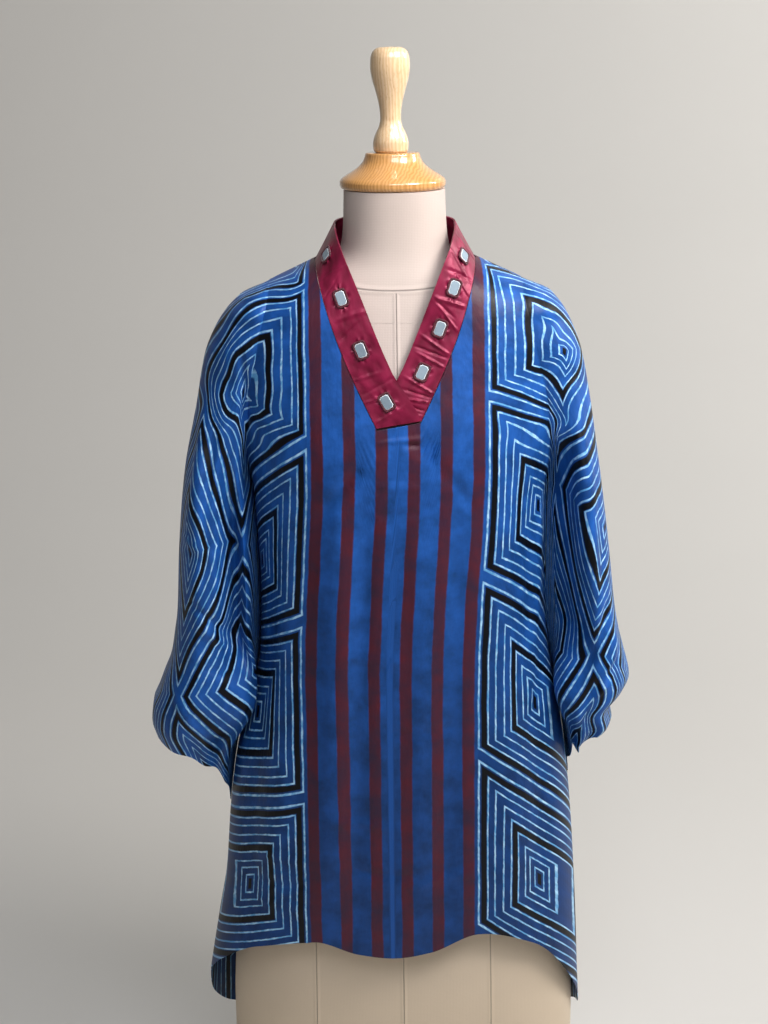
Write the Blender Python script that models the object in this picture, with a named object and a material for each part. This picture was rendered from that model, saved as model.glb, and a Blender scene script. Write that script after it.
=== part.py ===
"""Short kaftan with batwing sleeves, worn on a limbless table-top dress form.

Metres, +Z up, front towards -Y. The form's flat underside is z = 0 and its axis is X = 0, Y = 0.
"""

import math
from collections import namedtuple

import bmesh
import bpy
from mathutils import Vector

# Driving dimensions
CLOTH = 0.0012  # wall of the printed cloth
BAND_CLOTH = 0.0018  # wall of the folded satin neckband
SEAM = 0.0003  # gap between two pieces at a seam
FORM_HEIGHT = 1.112  # underside to the cut neck
NECK_POINT_X = 0.083  # where the neckline crosses the shoulder seam
NECK_POINT_Z = 1.0415
SHOULDER_SLOPE = math.tan(math.radians(25))
FOLD_START_X = 0.131  # where the sleeve's folds begin on the shoulder seam
UNDERARM_Z = 0.62
BAND_WIDTH = 0.039
PANEL_HALF = 0.0925  # half of the striped centre panel
CLOTH_ROUND = 2.4  # superellipse exponent of the worn body
FORM_ROUND = 2.2
UNDERARM_ROW = 14  # rows from the shoulder seam to the underarm
SLEEVE_ROWS = 20
BODY_ROWS = 26
TINY = 1e-6

Section = namedtuple("Section", "z left right front back")

# Level sections of the dress form, from its axis outwards
FORM_SECTIONS = [
    Section(0.000, 0.190, 0.190, 0.102, 0.109),
    Section(0.006, 0.193, 0.193, 0.105, 0.112),
    Section(0.090, 0.195, 0.195, 0.107, 0.115),
    Section(0.180, 0.195, 0.195, 0.108, 0.117),
    Section(0.270, 0.191, 0.191, 0.108, 0.119),
    Section(0.355, 0.183, 0.183, 0.106, 0.115),
    Section(0.440, 0.168, 0.168, 0.101, 0.106),
    Section(0.520, 0.147, 0.147, 0.094, 0.093),
    Section(0.600, 0.129, 0.129, 0.089, 0.081),
    Section(0.650, 0.127, 0.127, 0.090, 0.080),
    Section(0.720, 0.135, 0.135, 0.098, 0.085),
    Section(0.780, 0.143, 0.143, 0.107, 0.092),
    Section(0.830, 0.147, 0.147, 0.112, 0.099),
    Section(0.880, 0.148, 0.148, 0.105, 0.103),
    Section(0.930, 0.150, 0.150, 0.092, 0.101),
    Section(0.965, 0.153, 0.153, 0.083, 0.095),
    Section(0.987, 0.152, 0.152, 0.077, 0.088),
    Section(0.998, 0.146, 0.146, 0.074, 0.083),
    Section(1.007, 0.134, 0.134, 0.071, 0.078),
    Section(1.019, 0.110, 0.110, 0.067, 0.072),
    Section(1.030, 0.085, 0.085, 0.063, 0.066),
    Section(1.040, 0.067, 0.067, 0.059, 0.061),
    Section(1.055, 0.0565, 0.0565, 0.0555, 0.0565),
    Section(1.080, 0.0535, 0.0535, 0.0535, 0.0535),
    Section(FORM_HEIGHT, 0.0525, 0.0525, 0.0525, 0.0525),
]

# Level sections of the worn body between its two side lines, outside of the cloth
BODY_SECTIONS = [
    Section(0.080, 0.236, 0.208, 0.1260, 0.1350),
    Section(0.166, 0.230, 0.204, 0.1255, 0.1335),
    Section(0.226, 0.222, 0.201, 0.1250, 0.1320),
    Section(0.300, 0.209, 0.198, 0.1245, 0.1290),
    Section(0.355, 0.199, 0.195, 0.1240, 0.1255),
    Section(0.430, 0.192, 0.190, 0.1235, 0.1210),
    Section(0.500, 0.182, 0.183, 0.1225, 0.1170),
    Section(0.560, 0.165, 0.174, 0.1220, 0.1150),
    Section(0.620, 0.153, 0.163, 0.1215, 0.1140),
    Section(0.690, 0.150, 0.158, 0.1210, 0.1130),
    Section(0.770, 0.153, 0.158, 0.1205, 0.1130),
    Section(0.840, 0.157, 0.160, 0.1190, 0.1135),
    Section(0.880, 0.160, 0.161, 0.1145, 0.1140),
    Section(0.930, 0.164, 0.164, 0.1040, 0.1120),
    Section(0.965, 0.168, 0.168, 0.0970, 0.1060),
    Section(0.987, 0.167, 0.167, 0.0925, 0.1000),
    Section(1.000, 0.160, 0.160, 0.0890, 0.0945),
    Section(1.010, 0.147, 0.147, 0.0865, 0.0895),
    Section(1.019, 0.1312, 0.1312, 0.0840, 0.0850),
    Section(1.030, 0.1080, 0.1080, 0.0800, 0.0780),
    Section(NECK_POINT_Z, 0.0835, 0.0835, 0.0750, 0.0700),
]


def through(knots, values):
    """Smooth line through the knots that never overshoots a value."""
    order = sorted(range(len(knots)), key=lambda k: knots[k])
    xs = [knots[k] for k in order]
    ys = [values[k] for k in order]
    steps = [(ys[k + 1] - ys[k]) / (xs[k + 1] - xs[k]) for k in range(len(xs) - 1)]
    slopes = [steps[0]]
    for before, after in zip(steps, steps[1:]):
        slopes.append(2 * before * after / (before + after) if before * after > 0 else 0.0)
    slopes.append(steps[-1])

    def value(x):
        x = min(max(x, xs[0]), xs[-1])
        k = max(i for i in range(len(xs) - 1) if xs[i] <= x)
        width = xs[k + 1] - xs[k]
        t = (x - xs[k]) / width
        return (
            ys[k] * (1 + 2 * t) * (1 - t) ** 2
            + slopes[k] * width * t * (1 - t) ** 2
            + ys[k + 1] * t * t * (3 - 2 * t)
            - slopes[k + 1] * width * t * t * (1 - t)
        )

    return value


def tracks(rows, key):
    """One smooth line for each column of a table but its key."""
    knots = [getattr(row, key) for row in rows]
    others = [name for name in rows[0]._fields if name != key]
    return {name: through(knots, [getattr(row, name) for row in rows]) for name in others}


def ease(x, start=0.0, end=1.0):
    t = min(max((x - start) / (end - start), 0.0), 1.0)
    return t * t * (3 - 2 * t)


FORM = tracks(FORM_SECTIONS, "z")
BODY = tracks(BODY_SECTIONS, "z")


def side_name(side):
    return "left" if side < 0 else "right"


def shoulder_z(x):
    return NECK_POINT_Z - (abs(x) - NECK_POINT_X) * SHOULDER_SLOPE


def body_y(x, z, face):
    """Depth of the worn body at x on a level; face is -1 in front and 1 behind."""
    half = BODY[side_name(x)](z)
    depth = BODY["front" if face < 0 else "back"](z)
    share = min(abs(x) / half, 1.0) ** CLOTH_ROUND
    return face * depth * (1 - share) ** (1 / CLOTH_ROUND)


# The neckline: a V in front that ends in a short level seam, a round behind
V_FOOT = {-1: Vector((-0.0210, 0, 0.8810)), 1: Vector((0.0235, 0, 0.8885))}
V_BOW = 0.006  # how far each side of the V bows outwards
# Knots that the panels and the band share: 0 at the neck point, 1 at the centre back or the V's foot
BACK_NECK_KNOTS = [0.0, 0.16, 0.36, 0.60, 0.80, 1.0]
FRONT_NECK_KNOTS = [0.0, 0.06, 0.14, 0.25, 0.42, 0.68, 1.0]


def neck_curve(side, t, face):
    """Point of the neckline between the neck point, t = 0, and the centre back or the V's foot."""
    if face > 0:
        x = side * NECK_POINT_X * math.cos(math.radians(90) * t) ** 0.8 if t < 1 else 0.0
        return Vector((x, body_y(side * abs(x), NECK_POINT_Z, 1), NECK_POINT_Z))
    share = t**1.5
    foot = V_FOOT[side]
    x = side * (NECK_POINT_X + V_BOW * math.sin(math.pi * share))
    x += (foot.x - side * NECK_POINT_X) * share
    z = NECK_POINT_Z + (foot.z - NECK_POINT_Z) * share
    return Vector((x, body_y(x, z, -1), z))


def neckline(side, t):
    """The sewn neckline, straight between its knots; t is below 0 behind the neck point."""
    face = 1 if t < 0 else -1
    knots = BACK_NECK_KNOTS if t < 0 else FRONT_NECK_KNOTS
    k = max(i for i in range(len(knots) - 1) if knots[i] <= abs(t))
    share = (abs(t) - knots[k]) / (knots[k + 1] - knots[k])
    return neck_curve(side, knots[k], face).lerp(neck_curve(side, knots[k + 1], face), share)


# The body's columns from the centre out. top is where one starts: below 0 on the neckline, by its
# knots, and from 0 at the neck point to 1 at the fold start on the shoulder seam. reach is where it
# hangs: 0 at the centre, 0.5 at the edge of the striped panel and 1 at the side line.
Column = namedtuple("Column", "top reach")
CENTRE = -2.0
FRONT_COLUMNS = [
    Column(CENTRE, 0.00),
    Column(-1.00, 0.12),
    Column(-0.68, 0.21),
    Column(-0.42, 0.29),
    Column(-0.25, 0.355),
    Column(-0.14, 0.41),
    Column(-0.06, 0.455),
    Column(0.00, 0.50),
    Column(0.20, 0.60),
    Column(0.40, 0.70),
    Column(0.60, 0.80),
    Column(0.80, 0.90),
    Column(1.00, 1.00),
]
BACK_COLUMNS = [
    Column(CENTRE, 0.00),
    Column(-0.80, 0.12),
    Column(-0.60, 0.23),
    Column(-0.36, 0.35),
    Column(-0.16, 0.43),
    Column(0.00, 0.50),
    Column(0.25, 0.62),
    Column(0.50, 0.75),
    Column(0.75, 0.88),
    Column(1.00, 1.00),
]
COLUMNS = {-1: FRONT_COLUMNS, 1: BACK_COLUMNS}

HemPoint = namedtuple("HemPoint", "reach z")
FRONT_HEM = [
    HemPoint(-1.00, 0.222),
    HemPoint(-0.84, 0.262),
    HemPoint(-0.66, 0.297),
    HemPoint(-0.44, 0.314),
    HemPoint(-0.20, 0.302),
    HemPoint(0.00, 0.298),
    HemPoint(0.22, 0.304),
    HemPoint(0.50, 0.322),
    HemPoint(0.66, 0.300),
    HemPoint(0.84, 0.238),
    HemPoint(1.00, 0.172),
]
BACK_HEM = [
    HemPoint(-1.00, 0.222),
    HemPoint(-0.90, 0.170),
    HemPoint(-0.75, 0.132),
    HemPoint(-0.50, 0.117),
    HemPoint(0.00, 0.112),
    HemPoint(0.55, 0.118),
    HemPoint(0.80, 0.138),
    HemPoint(1.00, 0.172),
]
HEM = {-1: tracks(FRONT_HEM, "reach")["z"], 1: tracks(BACK_HEM, "reach")["z"]}
SIDE_Y = 0.012  # how far the valley beside each sleeve stays from the side line
PANEL_DRIFT = 0.0115  # the striped panel hangs this far to the left below the bust


def top_of(side, column, face):
    """Where a column leaves the neckline or the shoulder seam."""
    if column.top > 0:
        x = side * (NECK_POINT_X + (FOLD_START_X - NECK_POINT_X) * column.top)
        return Vector((x, 0, shoulder_z(x)))
    if column.top > CENTRE:
        return neck_curve(side, -column.top, face)
    if face > 0:
        return neck_curve(side, 1.0, face)
    return neck_curve(-1, 1.0, face).lerp(neck_curve(1, 1.0, face), 0.5)


def hanging_x(side, reach, z, face):
    """x of a column where it hangs free, below the shoulder."""
    drift = -PANEL_DRIFT * ease(0.86 - z, 0.0, 0.26)
    if reach <= 0.5:
        return side * reach / 0.5 * PANEL_HALF + drift
    half = BODY[side_name(side)](z)
    depth = BODY["front" if face < 0 else "back"](z)
    edge = math.acos(min(abs(side * PANEL_HALF + drift) / half, 1.0) ** (CLOTH_ROUND / 2))
    inset = SIDE_Y * ease(z, UNDERARM_Z, UNDERARM_Z + 0.10)
    line = math.asin((inset / depth) ** (CLOTH_ROUND / 2))
    angle = edge + (line - edge) * (reach - 0.5) / 0.5
    return side * half * math.cos(angle) ** (2 / CLOTH_ROUND)


def body_point(side, column, z, face):
    top = top_of(side, column, face)
    drop = top.z - z
    if drop < TINY:
        return top + Vector((0, face * SEAM / 2, 0))
    x = top.x + (hanging_x(side, column.reach, z, face) - top.x) * ease(drop, 0.0, 0.14)
    if column.reach == 1 and abs(z - UNDERARM_Z) < TINY:
        y = face * CLOTH
    elif column.reach == 1 and z < UNDERARM_Z:
        y = 0.0
    else:
        y = body_y(x, z, face)
    return Vector((x, y + face * SEAM / 2, z))


def side_rows(side):
    """Levels of the rows where they cross the side line, from shoulder seam to hem."""
    top = shoulder_z(FOLD_START_X)
    hem = HEM[-1](side)
    upper = [top - (top - UNDERARM_Z) * (k / UNDERARM_ROW) ** 1.55 for k in range(UNDERARM_ROW + 1)]
    count = BODY_ROWS - UNDERARM_ROW
    return upper + [UNDERARM_Z + (hem - UNDERARM_Z) * k / count for k in range(1, count + 1)]


def body_levels(side, column, face):
    """Levels of a column: the rows' shares of the side line, from its own top to its own hem."""
    rows = side_rows(side)
    top = top_of(side, column, face).z
    hem = HEM[face](side * column.reach)
    return [top + (hem - top) * (rows[0] - z) / (rows[0] - rows[-1]) for z in rows]


# The sleeves hang from the shoulder tip. out runs from 0 at the valley beside the body to 1 at
# the sleeve's seam, and fold is how far the cloth stands forward there, as a share of the depth.
Fold = namedtuple("Fold", "column out fold")
FRONT_FOLDS = {
    -1: [
        Fold(0.00, 0.00, 0.00),
        Fold(0.12, 0.05, 0.38),
        Fold(0.26, 0.15, 0.74),
        Fold(0.40, 0.30, 0.80),
        Fold(0.56, 0.50, 0.96),
        Fold(0.68, 0.66, 1.00),
        Fold(0.82, 0.86, 0.78),
        Fold(0.92, 0.97, 0.42),
        Fold(1.00, 1.00, 0.00),
    ],
    1: [
        Fold(0.00, 0.00, 0.00),
        Fold(0.14, 0.12, 0.12),
        Fold(0.30, 0.29, 0.36),
        Fold(0.46, 0.46, 0.76),
        Fold(0.62, 0.65, 1.00),
        Fold(0.78, 0.85, 0.82),
        Fold(0.91, 0.97, 0.42),
        Fold(1.00, 1.00, 0.00),
    ],
}
BACK_FOLDS = {
    side: [
        Fold(0.00, 0.00, 0.00),
        Fold(0.18, 0.10, 0.30),
        Fold(0.40, 0.32, 0.78),
        Fold(0.60, 0.60, 1.00),
        Fold(0.80, 0.87, 0.75),
        Fold(0.92, 0.97, 0.40),
        Fold(1.00, 1.00, 0.00),
    ]
    for side in (-1, 1)
}
# Below the underarm each sleeve's inner fold laps past the body's side
LAPPED_FOLDS = [
    Fold(0.00, 0.00, 0.00),
    Fold(0.12, 0.00, 0.28),
    Fold(0.25, -0.065, 0.62),
    Fold(0.38, 0.01, 0.86),
    Fold(0.50, 0.22, 0.93),
    Fold(0.64, 0.52, 1.00),
    Fold(0.78, 0.82, 0.80),
    Fold(0.91, 0.97, 0.42),
    Fold(1.00, 1.00, 0.00),
]
SleeveSection = namedtuple("SleeveSection", "z left right depth")
# Outer line of each sleeve and how far its folds stand off the seam
SLEEVE_SECTIONS = [
    SleeveSection(0.450, 0.236, 0.2020, 0.030),
    SleeveSection(0.485, 0.252, 0.2080, 0.048),
    SleeveSection(0.505, 0.264, 0.2150, 0.062),
    SleeveSection(0.527, 0.272, 0.2280, 0.074),
    SleeveSection(0.545, 0.2755, 0.2390, 0.082),
    SleeveSection(0.583, 0.263, 0.2535, 0.088),
    SleeveSection(0.611, 0.2515, 0.2440, 0.086),
    SleeveSection(0.667, 0.2420, 0.2350, 0.080),
    SleeveSection(0.740, 0.2370, 0.2265, 0.075),
    SleeveSection(0.820, 0.2280, 0.2160, 0.068),
    SleeveSection(0.890, 0.2130, 0.2060, 0.055),
    SleeveSection(0.944, 0.2020, 0.1955, 0.034),
    SleeveSection(0.970, 0.1910, 0.1860, 0.021),
    SleeveSection(0.990, 0.1780, 0.1755, 0.009),
    SleeveSection(1.004, 0.1640, 0.1640, 0.000),
]
SLEEVE = tracks(SLEEVE_SECTIONS, "z")
LAPPED = tracks(LAPPED_FOLDS, "column")
TIP_X = 0.1600  # the seam turns down here
CUFF_Z = {-1: 0.525, 1: 0.537}  # end of the sleeve's seam
UNDERARM_SEAM_END_Z = {-1: 0.432, 1: 0.462}
SLEEVE_COLUMNS = {-1: 12, 1: 9}
BACK_DEPTH = 0.92  # the back's folds against the front's
SLEEVE_CLEAR = 0.0008  # between the body and the sleeve's own seam, below the underarm
# Second fold of the front's left sleeve, between the body and the main fold
NOTCH_COLUMN = 0.38
NOTCH_WIDTH = 0.09
NOTCH_SHARE = 0.34


def inner_line(side, z, face):
    """Where the sleeve's cloth leaves the body, or, below the underarm, its own seam."""
    if z >= UNDERARM_Z - TINY:
        return body_point(side, COLUMNS[face][-1], z, face)
    clear = SLEEVE_CLEAR * min((UNDERARM_Z - z) / 0.03, 1.0)
    return Vector((side * (BODY[side_name(side)](z) + clear), face * SEAM / 2, z))


def sleeve_levels(side):
    """For each row, its level at the body and at the sleeve's outer seam."""
    tip_z = shoulder_z(TIP_X)
    rows = side_rows(side)
    pairs = []
    for k in range(SLEEVE_ROWS + 1):
        outer = tip_z + (CUFF_Z[side] - tip_z) * (k / SLEEVE_ROWS) ** 1.15
        below = (k - UNDERARM_ROW) / (SLEEVE_ROWS - UNDERARM_ROW)
        inner = rows[k] if below <= 0 else UNDERARM_Z + (UNDERARM_SEAM_END_Z[side] - UNDERARM_Z) * below
        pairs.append((inner, outer))
    return pairs


def sleeve_point(side, face, levels, column, folds):
    inner_z, outer_z = levels
    out = folds["out"](column)
    if inner_z > shoulder_z(FOLD_START_X) - TINY:
        x = side * (FOLD_START_X + (TIP_X - FOLD_START_X) * out)
        return Vector((x, face * SEAM / 2, shoulder_z(x)))
    z = inner_z + (outer_z - inner_z) * (1 - (1 - column) ** 1.7)
    inner = inner_line(side, max(z, UNDERARM_SEAM_END_Z[side]), face)
    if column == 0.0:
        return inner
    lapped = ease(UNDERARM_Z + 0.04 - z, 0.0, 0.09) * ease(z, 0.48, 0.57)
    out += (LAPPED["out"](column) - out) * lapped
    fold = folds["fold"](column)
    fold += (LAPPED["fold"](column) - fold) * lapped
    if face < 0 and side < 0:
        near = math.exp(-(((column - NOTCH_COLUMN) / NOTCH_WIDTH) ** 2))
        fold -= NOTCH_SHARE * near * ease(0.86 - z, 0.0, 0.12) * ease(z, 0.56, 0.66)
    depth = SLEEVE["depth"](z) * (BACK_DEPTH if face > 0 else 1.0)
    x = inner.x + (side * SLEEVE[side_name(side)](z) - inner.x) * out
    y = (inner.y - face * SEAM / 2) * math.sqrt(max(1 - out * out, 0)) + face * fold * depth
    return Vector((x, y + face * SEAM / 2, z))


def material(name, colour, roughness, metallic=0.0):
    finish = bpy.data.materials.new(name)
    finish.use_nodes = True
    shader = finish.node_tree.nodes["Principled BSDF"]
    shader.inputs["Base Color"].default_value = (*colour, 1)
    shader.inputs["Roughness"].default_value = roughness
    shader.inputs["Metallic"].default_value = metallic
    return finish


def add_object(name, bm, finish, smooth_angle=40):
    bmesh.ops.recalc_face_normals(bm, faces=bm.faces)
    mesh = bpy.data.meshes.new(name)
    bm.to_mesh(mesh)
    bm.free()
    mesh.materials.append(finish)
    mesh.shade_smooth()
    mesh.set_sharp_from_angle(angle=math.radians(smooth_angle))
    obj = bpy.data.objects.new(name, mesh)
    bpy.context.collection.objects.link(obj)
    return obj


def lace(bm, rows, flip=False, turned_until=0):
    """Triangles between the rows of a grid; their diagonals turn the other way before a column."""
    for above, below in zip(rows, rows[1:]):
        for k in range(len(above) - 1):
            a, b, c, d = above[k], above[k + 1], below[k + 1], below[k]
            pair = ((a, b, d), (b, c, d)) if k < turned_until else ((a, b, c), (a, c, d))
            for corners in pair:
                distinct = list(dict.fromkeys(corners))
                if len(distinct) == 3:
                    bm.faces.new(distinct[::-1] if flip else distinct)


def thicken(bm, thickness, seam_y=None, corners=()):
    """Give an open sheet its wall, on the side away from its normals.

    The wall never crosses the plane of the seams, and at an underarm corner it goes straight back to it.
    """
    bm.normal_update()
    sheet = list(bm.faces)
    rim = [edge for edge in bm.edges if edge.is_boundary]
    inner = {}
    for vert in list(bm.verts):
        inward = -vert.normal
        if vert in corners:
            inward = Vector((0, -math.copysign(1, vert.co.y), 0))
        elif seam_y is not None and abs(vert.co.y - seam_y) < TINY:
            inward = Vector((inward.x, 0, inward.z)).normalized()
        inner[vert] = bm.verts.new(vert.co + inward * thickness)
    for face in sheet:
        bm.faces.new([inner[vert] for vert in reversed(face.verts)])
    for edge in rim:
        start, end = edge.verts
        loop = edge.link_loops[0]
        if loop.vert != start:
            start, end = end, start
        bm.faces.new([end, start, inner[start]])
        bm.faces.new([end, inner[start], inner[end]])


def garment_piece(name, face, fold_tables, finish):
    """Front or back, cut in one with its two sleeve halves."""
    bm = bmesh.new()
    from_centre = COLUMNS[face]
    across = [(-1, column) for column in reversed(from_centre[1:])] + [(1, column) for column in from_centre]
    columns = []
    for side, column in across:
        levels = body_levels(side, column, face)
        columns.append([bm.verts.new(body_point(side, column, z, face)) for z in levels])
    lace(bm, list(zip(*columns)), flip=face < 0, turned_until=len(from_centre) - 1)
    for side, line in ((-1, columns[0]), (1, columns[-1])):
        folds = tracks(fold_tables[side], "column")
        sleeve_columns = SLEEVE_COLUMNS[face]
        grid = []
        for k, levels in enumerate(sleeve_levels(side)):
            if k <= UNDERARM_ROW:
                row = [line[k]]
            else:
                row = [bm.verts.new(sleeve_point(side, face, levels, 0.0, folds))]
            for j in range(1, sleeve_columns + 1):
                row.append(bm.verts.new(sleeve_point(side, face, levels, j / sleeve_columns, folds)))
            grid.append(row)
        lace(bm, grid, flip=(side > 0) == (face < 0))
    corners = (columns[0][UNDERARM_ROW], columns[-1][UNDERARM_ROW])
    thicken(bm, CLOTH, seam_y=face * SEAM / 2, corners=corners)
    return add_object(name, bm, finish)


for old in list(bpy.data.objects):
    bpy.data.objects.remove(old, do_unlink=True)

PRINTED_CLOTH = material("printed_cloth", (0.020, 0.085, 0.330), 0.45)
front = garment_piece("front", -1, FRONT_FOLDS, PRINTED_CLOTH)
back = garment_piece("back", 1, BACK_FOLDS, PRINTED_CLOTH)


# Neckband: two satin strips, joined at the centre back, the left lapped over the right
BAND_SATIN = material("neckband_satin", (0.190, 0.012, 0.035), 0.35)
BAND_START = 0.0007  # the strip's edge stands this far off the seam line
BAND_LAP = 0.0030  # between the two strips where they cross
Rise = namedtuple("Rise", "t inward forward up")
# Direction in which the strip rises from the neckline, mirrored for the other side
BAND_RISE = [
    Rise(-1.00, 0.02, 0.20, 0.98),
    Rise(-0.60, 0.25, 0.12, 0.96),
    Rise(-0.20, 0.42, 0.02, 0.90),
    Rise(0.00, 0.50, -0.02, 0.86),
    Rise(0.20, 0.58, -0.03, 0.81),
    Rise(0.40, 0.74, -0.06, 0.66),
    Rise(0.60, 0.87, -0.08, 0.47),
    Rise(0.80, 0.925, -0.08, 0.37),
    Rise(1.00, 0.985, -0.04, 0.16),
]
RISE = tracks(BAND_RISE, "t")
BAND_COLUMNS = 3
BAND_END = 0.992  # the strips stop just short of the V's level seam
BAND_END_WIDTH = {-1: 0.0462, 1: 0.0415}  # the ends are cut along that seam


def band_point(side, t, across):
    """Point of a strip; across is 0 at the neckline seam and 1 at the free edge."""
    rise = Vector((-side * RISE["inward"](t), -RISE["forward"](t), RISE["up"](t))).normalized()
    width = BAND_WIDTH + (BAND_END_WIDTH[side] - BAND_WIDTH) * ease(t, 0.8, 1.0)
    point = neckline(side, t) + rise * (BAND_START + width * across)
    lap = BAND_LAP * ease(t, 0.45, 0.66) * ease(across)
    return point + Vector((0, side * lap, 0))


def band_strip(name, side):
    bm = bmesh.new()
    knots = [-t for t in reversed(BACK_NECK_KNOTS[1:])] + FRONT_NECK_KNOTS[:-1] + [BAND_END]
    stations = sorted(knots + [(a + b) / 2 for a, b in zip(knots, knots[1:])])
    rows = []
    for t in stations:
        row = []
        for j in range(BAND_COLUMNS + 1):
            point = band_point(side, t, j / BAND_COLUMNS)
            if t == -1:
                point.x = side * SEAM
            row.append(bm.verts.new(point))
        rows.append(row)
    lace(bm, rows, flip=side < 0)
    thicken(bm, BAND_CLOTH)
    return add_object(name, bm, BAND_SATIN)


band_left = band_strip("neckband_left", -1)
band_right = band_strip("neckband_right", 1)

# Small mirrors with cut corners, sewn on the strips
MIRROR_GLASS = material("mirror_glass", (0.62, 0.66, 0.68), 0.12, metallic=0.9)
MIRROR_WIDTH = 0.0095
MIRROR_LENGTH = 0.0145
MIRROR_CORNER = 0.0024
MIRROR_THICKNESS = 0.0011
MIRROR_LIFT = 0.0006
MIRROR_PLACES = {-1: [0.13, 0.42, 0.68, 0.905], 1: [0.16, 0.38, 0.60, 0.81]}


def mirror(name, side, t, across=0.5):
    step = 0.01
    middle = band_point(side, t, across)
    along = (band_point(side, t + step, across) - band_point(side, t - step, across)).normalized()
    over = (band_point(side, t, across + 0.1) - band_point(side, t, across - 0.1)).normalized()
    out = over.cross(along).normalized() * side
    over = along.cross(out).normalized()
    half_w = MIRROR_WIDTH / 2
    half_l = MIRROR_LENGTH / 2
    corner = MIRROR_CORNER
    outline = []
    for sx, sy in ((1, 1), (-1, 1), (-1, -1), (1, -1)):
        pair = [(sx * (half_w - corner), sy * half_l), (sx * half_w, sy * (half_l - corner))]
        outline += pair if sx * sy < 0 else pair[::-1]
    bm = bmesh.new()
    base = middle + out * MIRROR_LIFT
    verts = [bm.verts.new(base + over * a + along * b) for a, b in outline]
    plate = bm.faces.new(verts)
    top = bmesh.ops.extrude_face_region(bm, geom=[plate])
    raised = [item for item in top["geom"] if isinstance(item, bmesh.types.BMVert)]
    bmesh.ops.translate(bm, vec=out * MIRROR_THICKNESS, verts=raised)
    return add_object(name, bm, MIRROR_GLASS, smooth_angle=20)


for side, places in MIRROR_PLACES.items():
    for number, t in enumerate(places, start=1):
        mirror(f"mirror_{side_name(side)}_{number}", side, t)

# Dress form: a linen-covered torso without limbs, cut level at the neck and underneath
FORM_LINEN = material("form_linen", (0.62, 0.54, 0.44), 0.85)
FORM_SPOKES = 36


def form_ring(z):
    ring = []
    for k in range(FORM_SPOKES):
        angle = 2 * math.pi * k / FORM_SPOKES
        c = math.cos(angle)
        s = math.sin(angle)
        half = FORM["right" if c > 0 else "left"](z)
        depth = FORM["back" if s > 0 else "front"](z)
        x = half * math.copysign(abs(c) ** (2 / FORM_ROUND), c)
        y = depth * math.copysign(abs(s) ** (2 / FORM_ROUND), s)
        ring.append((x, y, z))
    return ring


bm = bmesh.new()
levels = [FORM_SECTIONS[0].z]
for low, high in zip(FORM_SECTIONS, FORM_SECTIONS[1:]):
    count = 2 if high.z - low.z > 0.06 else 1
    levels += [low.z + (high.z - low.z) * k / count for k in range(1, count + 1)]
rings = [[bm.verts.new(point) for point in form_ring(z)] for z in levels]
lace(bm, [ring + ring[:1] for ring in rings])
bm.faces.new(rings[0])
bm.faces.new(rings[-1])
torso = add_object("form_torso", bm, FORM_LINEN)

# Turned wooden cap on the neck, and the finial that stands on it
TURNED_WOOD = material("varnished_wood", (0.74, 0.50, 0.22), 0.25)
Turning = namedtuple("Turning", "z radius")
CAP_PROFILE = [
    Turning(1.1123, 0.0510),
    Turning(1.1130, 0.0528),
    Turning(1.1160, 0.0548),
    Turning(1.1195, 0.0550),
    Turning(1.1225, 0.0535),
    Turning(1.1260, 0.0490),
    Turning(1.1300, 0.0425),
    Turning(1.1345, 0.0360),
    Turning(1.1400, 0.0310),
    Turning(1.1450, 0.0288),
    Turning(1.1480, 0.0278),
    Turning(1.1490, 0.0262),
]
FINIAL_PROFILE = [
    Turning(1.1493, 0.0165),
    Turning(1.1520, 0.0180),
    Turning(1.1580, 0.0184),
    Turning(1.1640, 0.0173),
    Turning(1.1700, 0.0148),
    Turning(1.1760, 0.0120),
    Turning(1.1830, 0.0107),
    Turning(1.1920, 0.0112),
    Turning(1.2020, 0.0130),
    Turning(1.2130, 0.0160),
    Turning(1.2240, 0.0190),
    Turning(1.2340, 0.0204),
    Turning(1.2430, 0.0200),
    Turning(1.2490, 0.0184),
    Turning(1.2530, 0.0160),
    Turning(1.2545, 0.0130),
]
TURNED_SPOKES = 28
CAP_OFFSET = -0.0015  # the cap sits a little to the left, and the finial a little more
FINIAL_OFFSET = -0.0030


def turned(name, profile, finish):
    bm = bmesh.new()
    rings = []
    for row in profile:
        angles = [2 * math.pi * k / TURNED_SPOKES for k in range(TURNED_SPOKES)]
        ring = [(row.radius * math.cos(a), row.radius * math.sin(a), row.z) for a in angles]
        rings.append([bm.verts.new(point) for point in ring])
    lace(bm, [ring + ring[:1] for ring in rings])
    bm.faces.new(rings[0])
    bm.faces.new(rings[-1])
    return add_object(name, bm, finish)


cap = turned("form_neck_cap", CAP_PROFILE, TURNED_WOOD)
cap.location.x = CAP_OFFSET
finial = turned("form_finial", FINIAL_PROFILE, TURNED_WOOD)
finial.location.x = FINIAL_OFFSET
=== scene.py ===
"""Short kaftan of printed cloth on a limbless table-top dress form.

Metres, +Z up, front towards -Y. The form's flat underside is z = 0 and its axis is X = 0, Y = 0.
"""

import math
from collections import namedtuple
from functools import partial

import bpy
import numpy as np
from mathutils import Matrix, Vector


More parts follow.
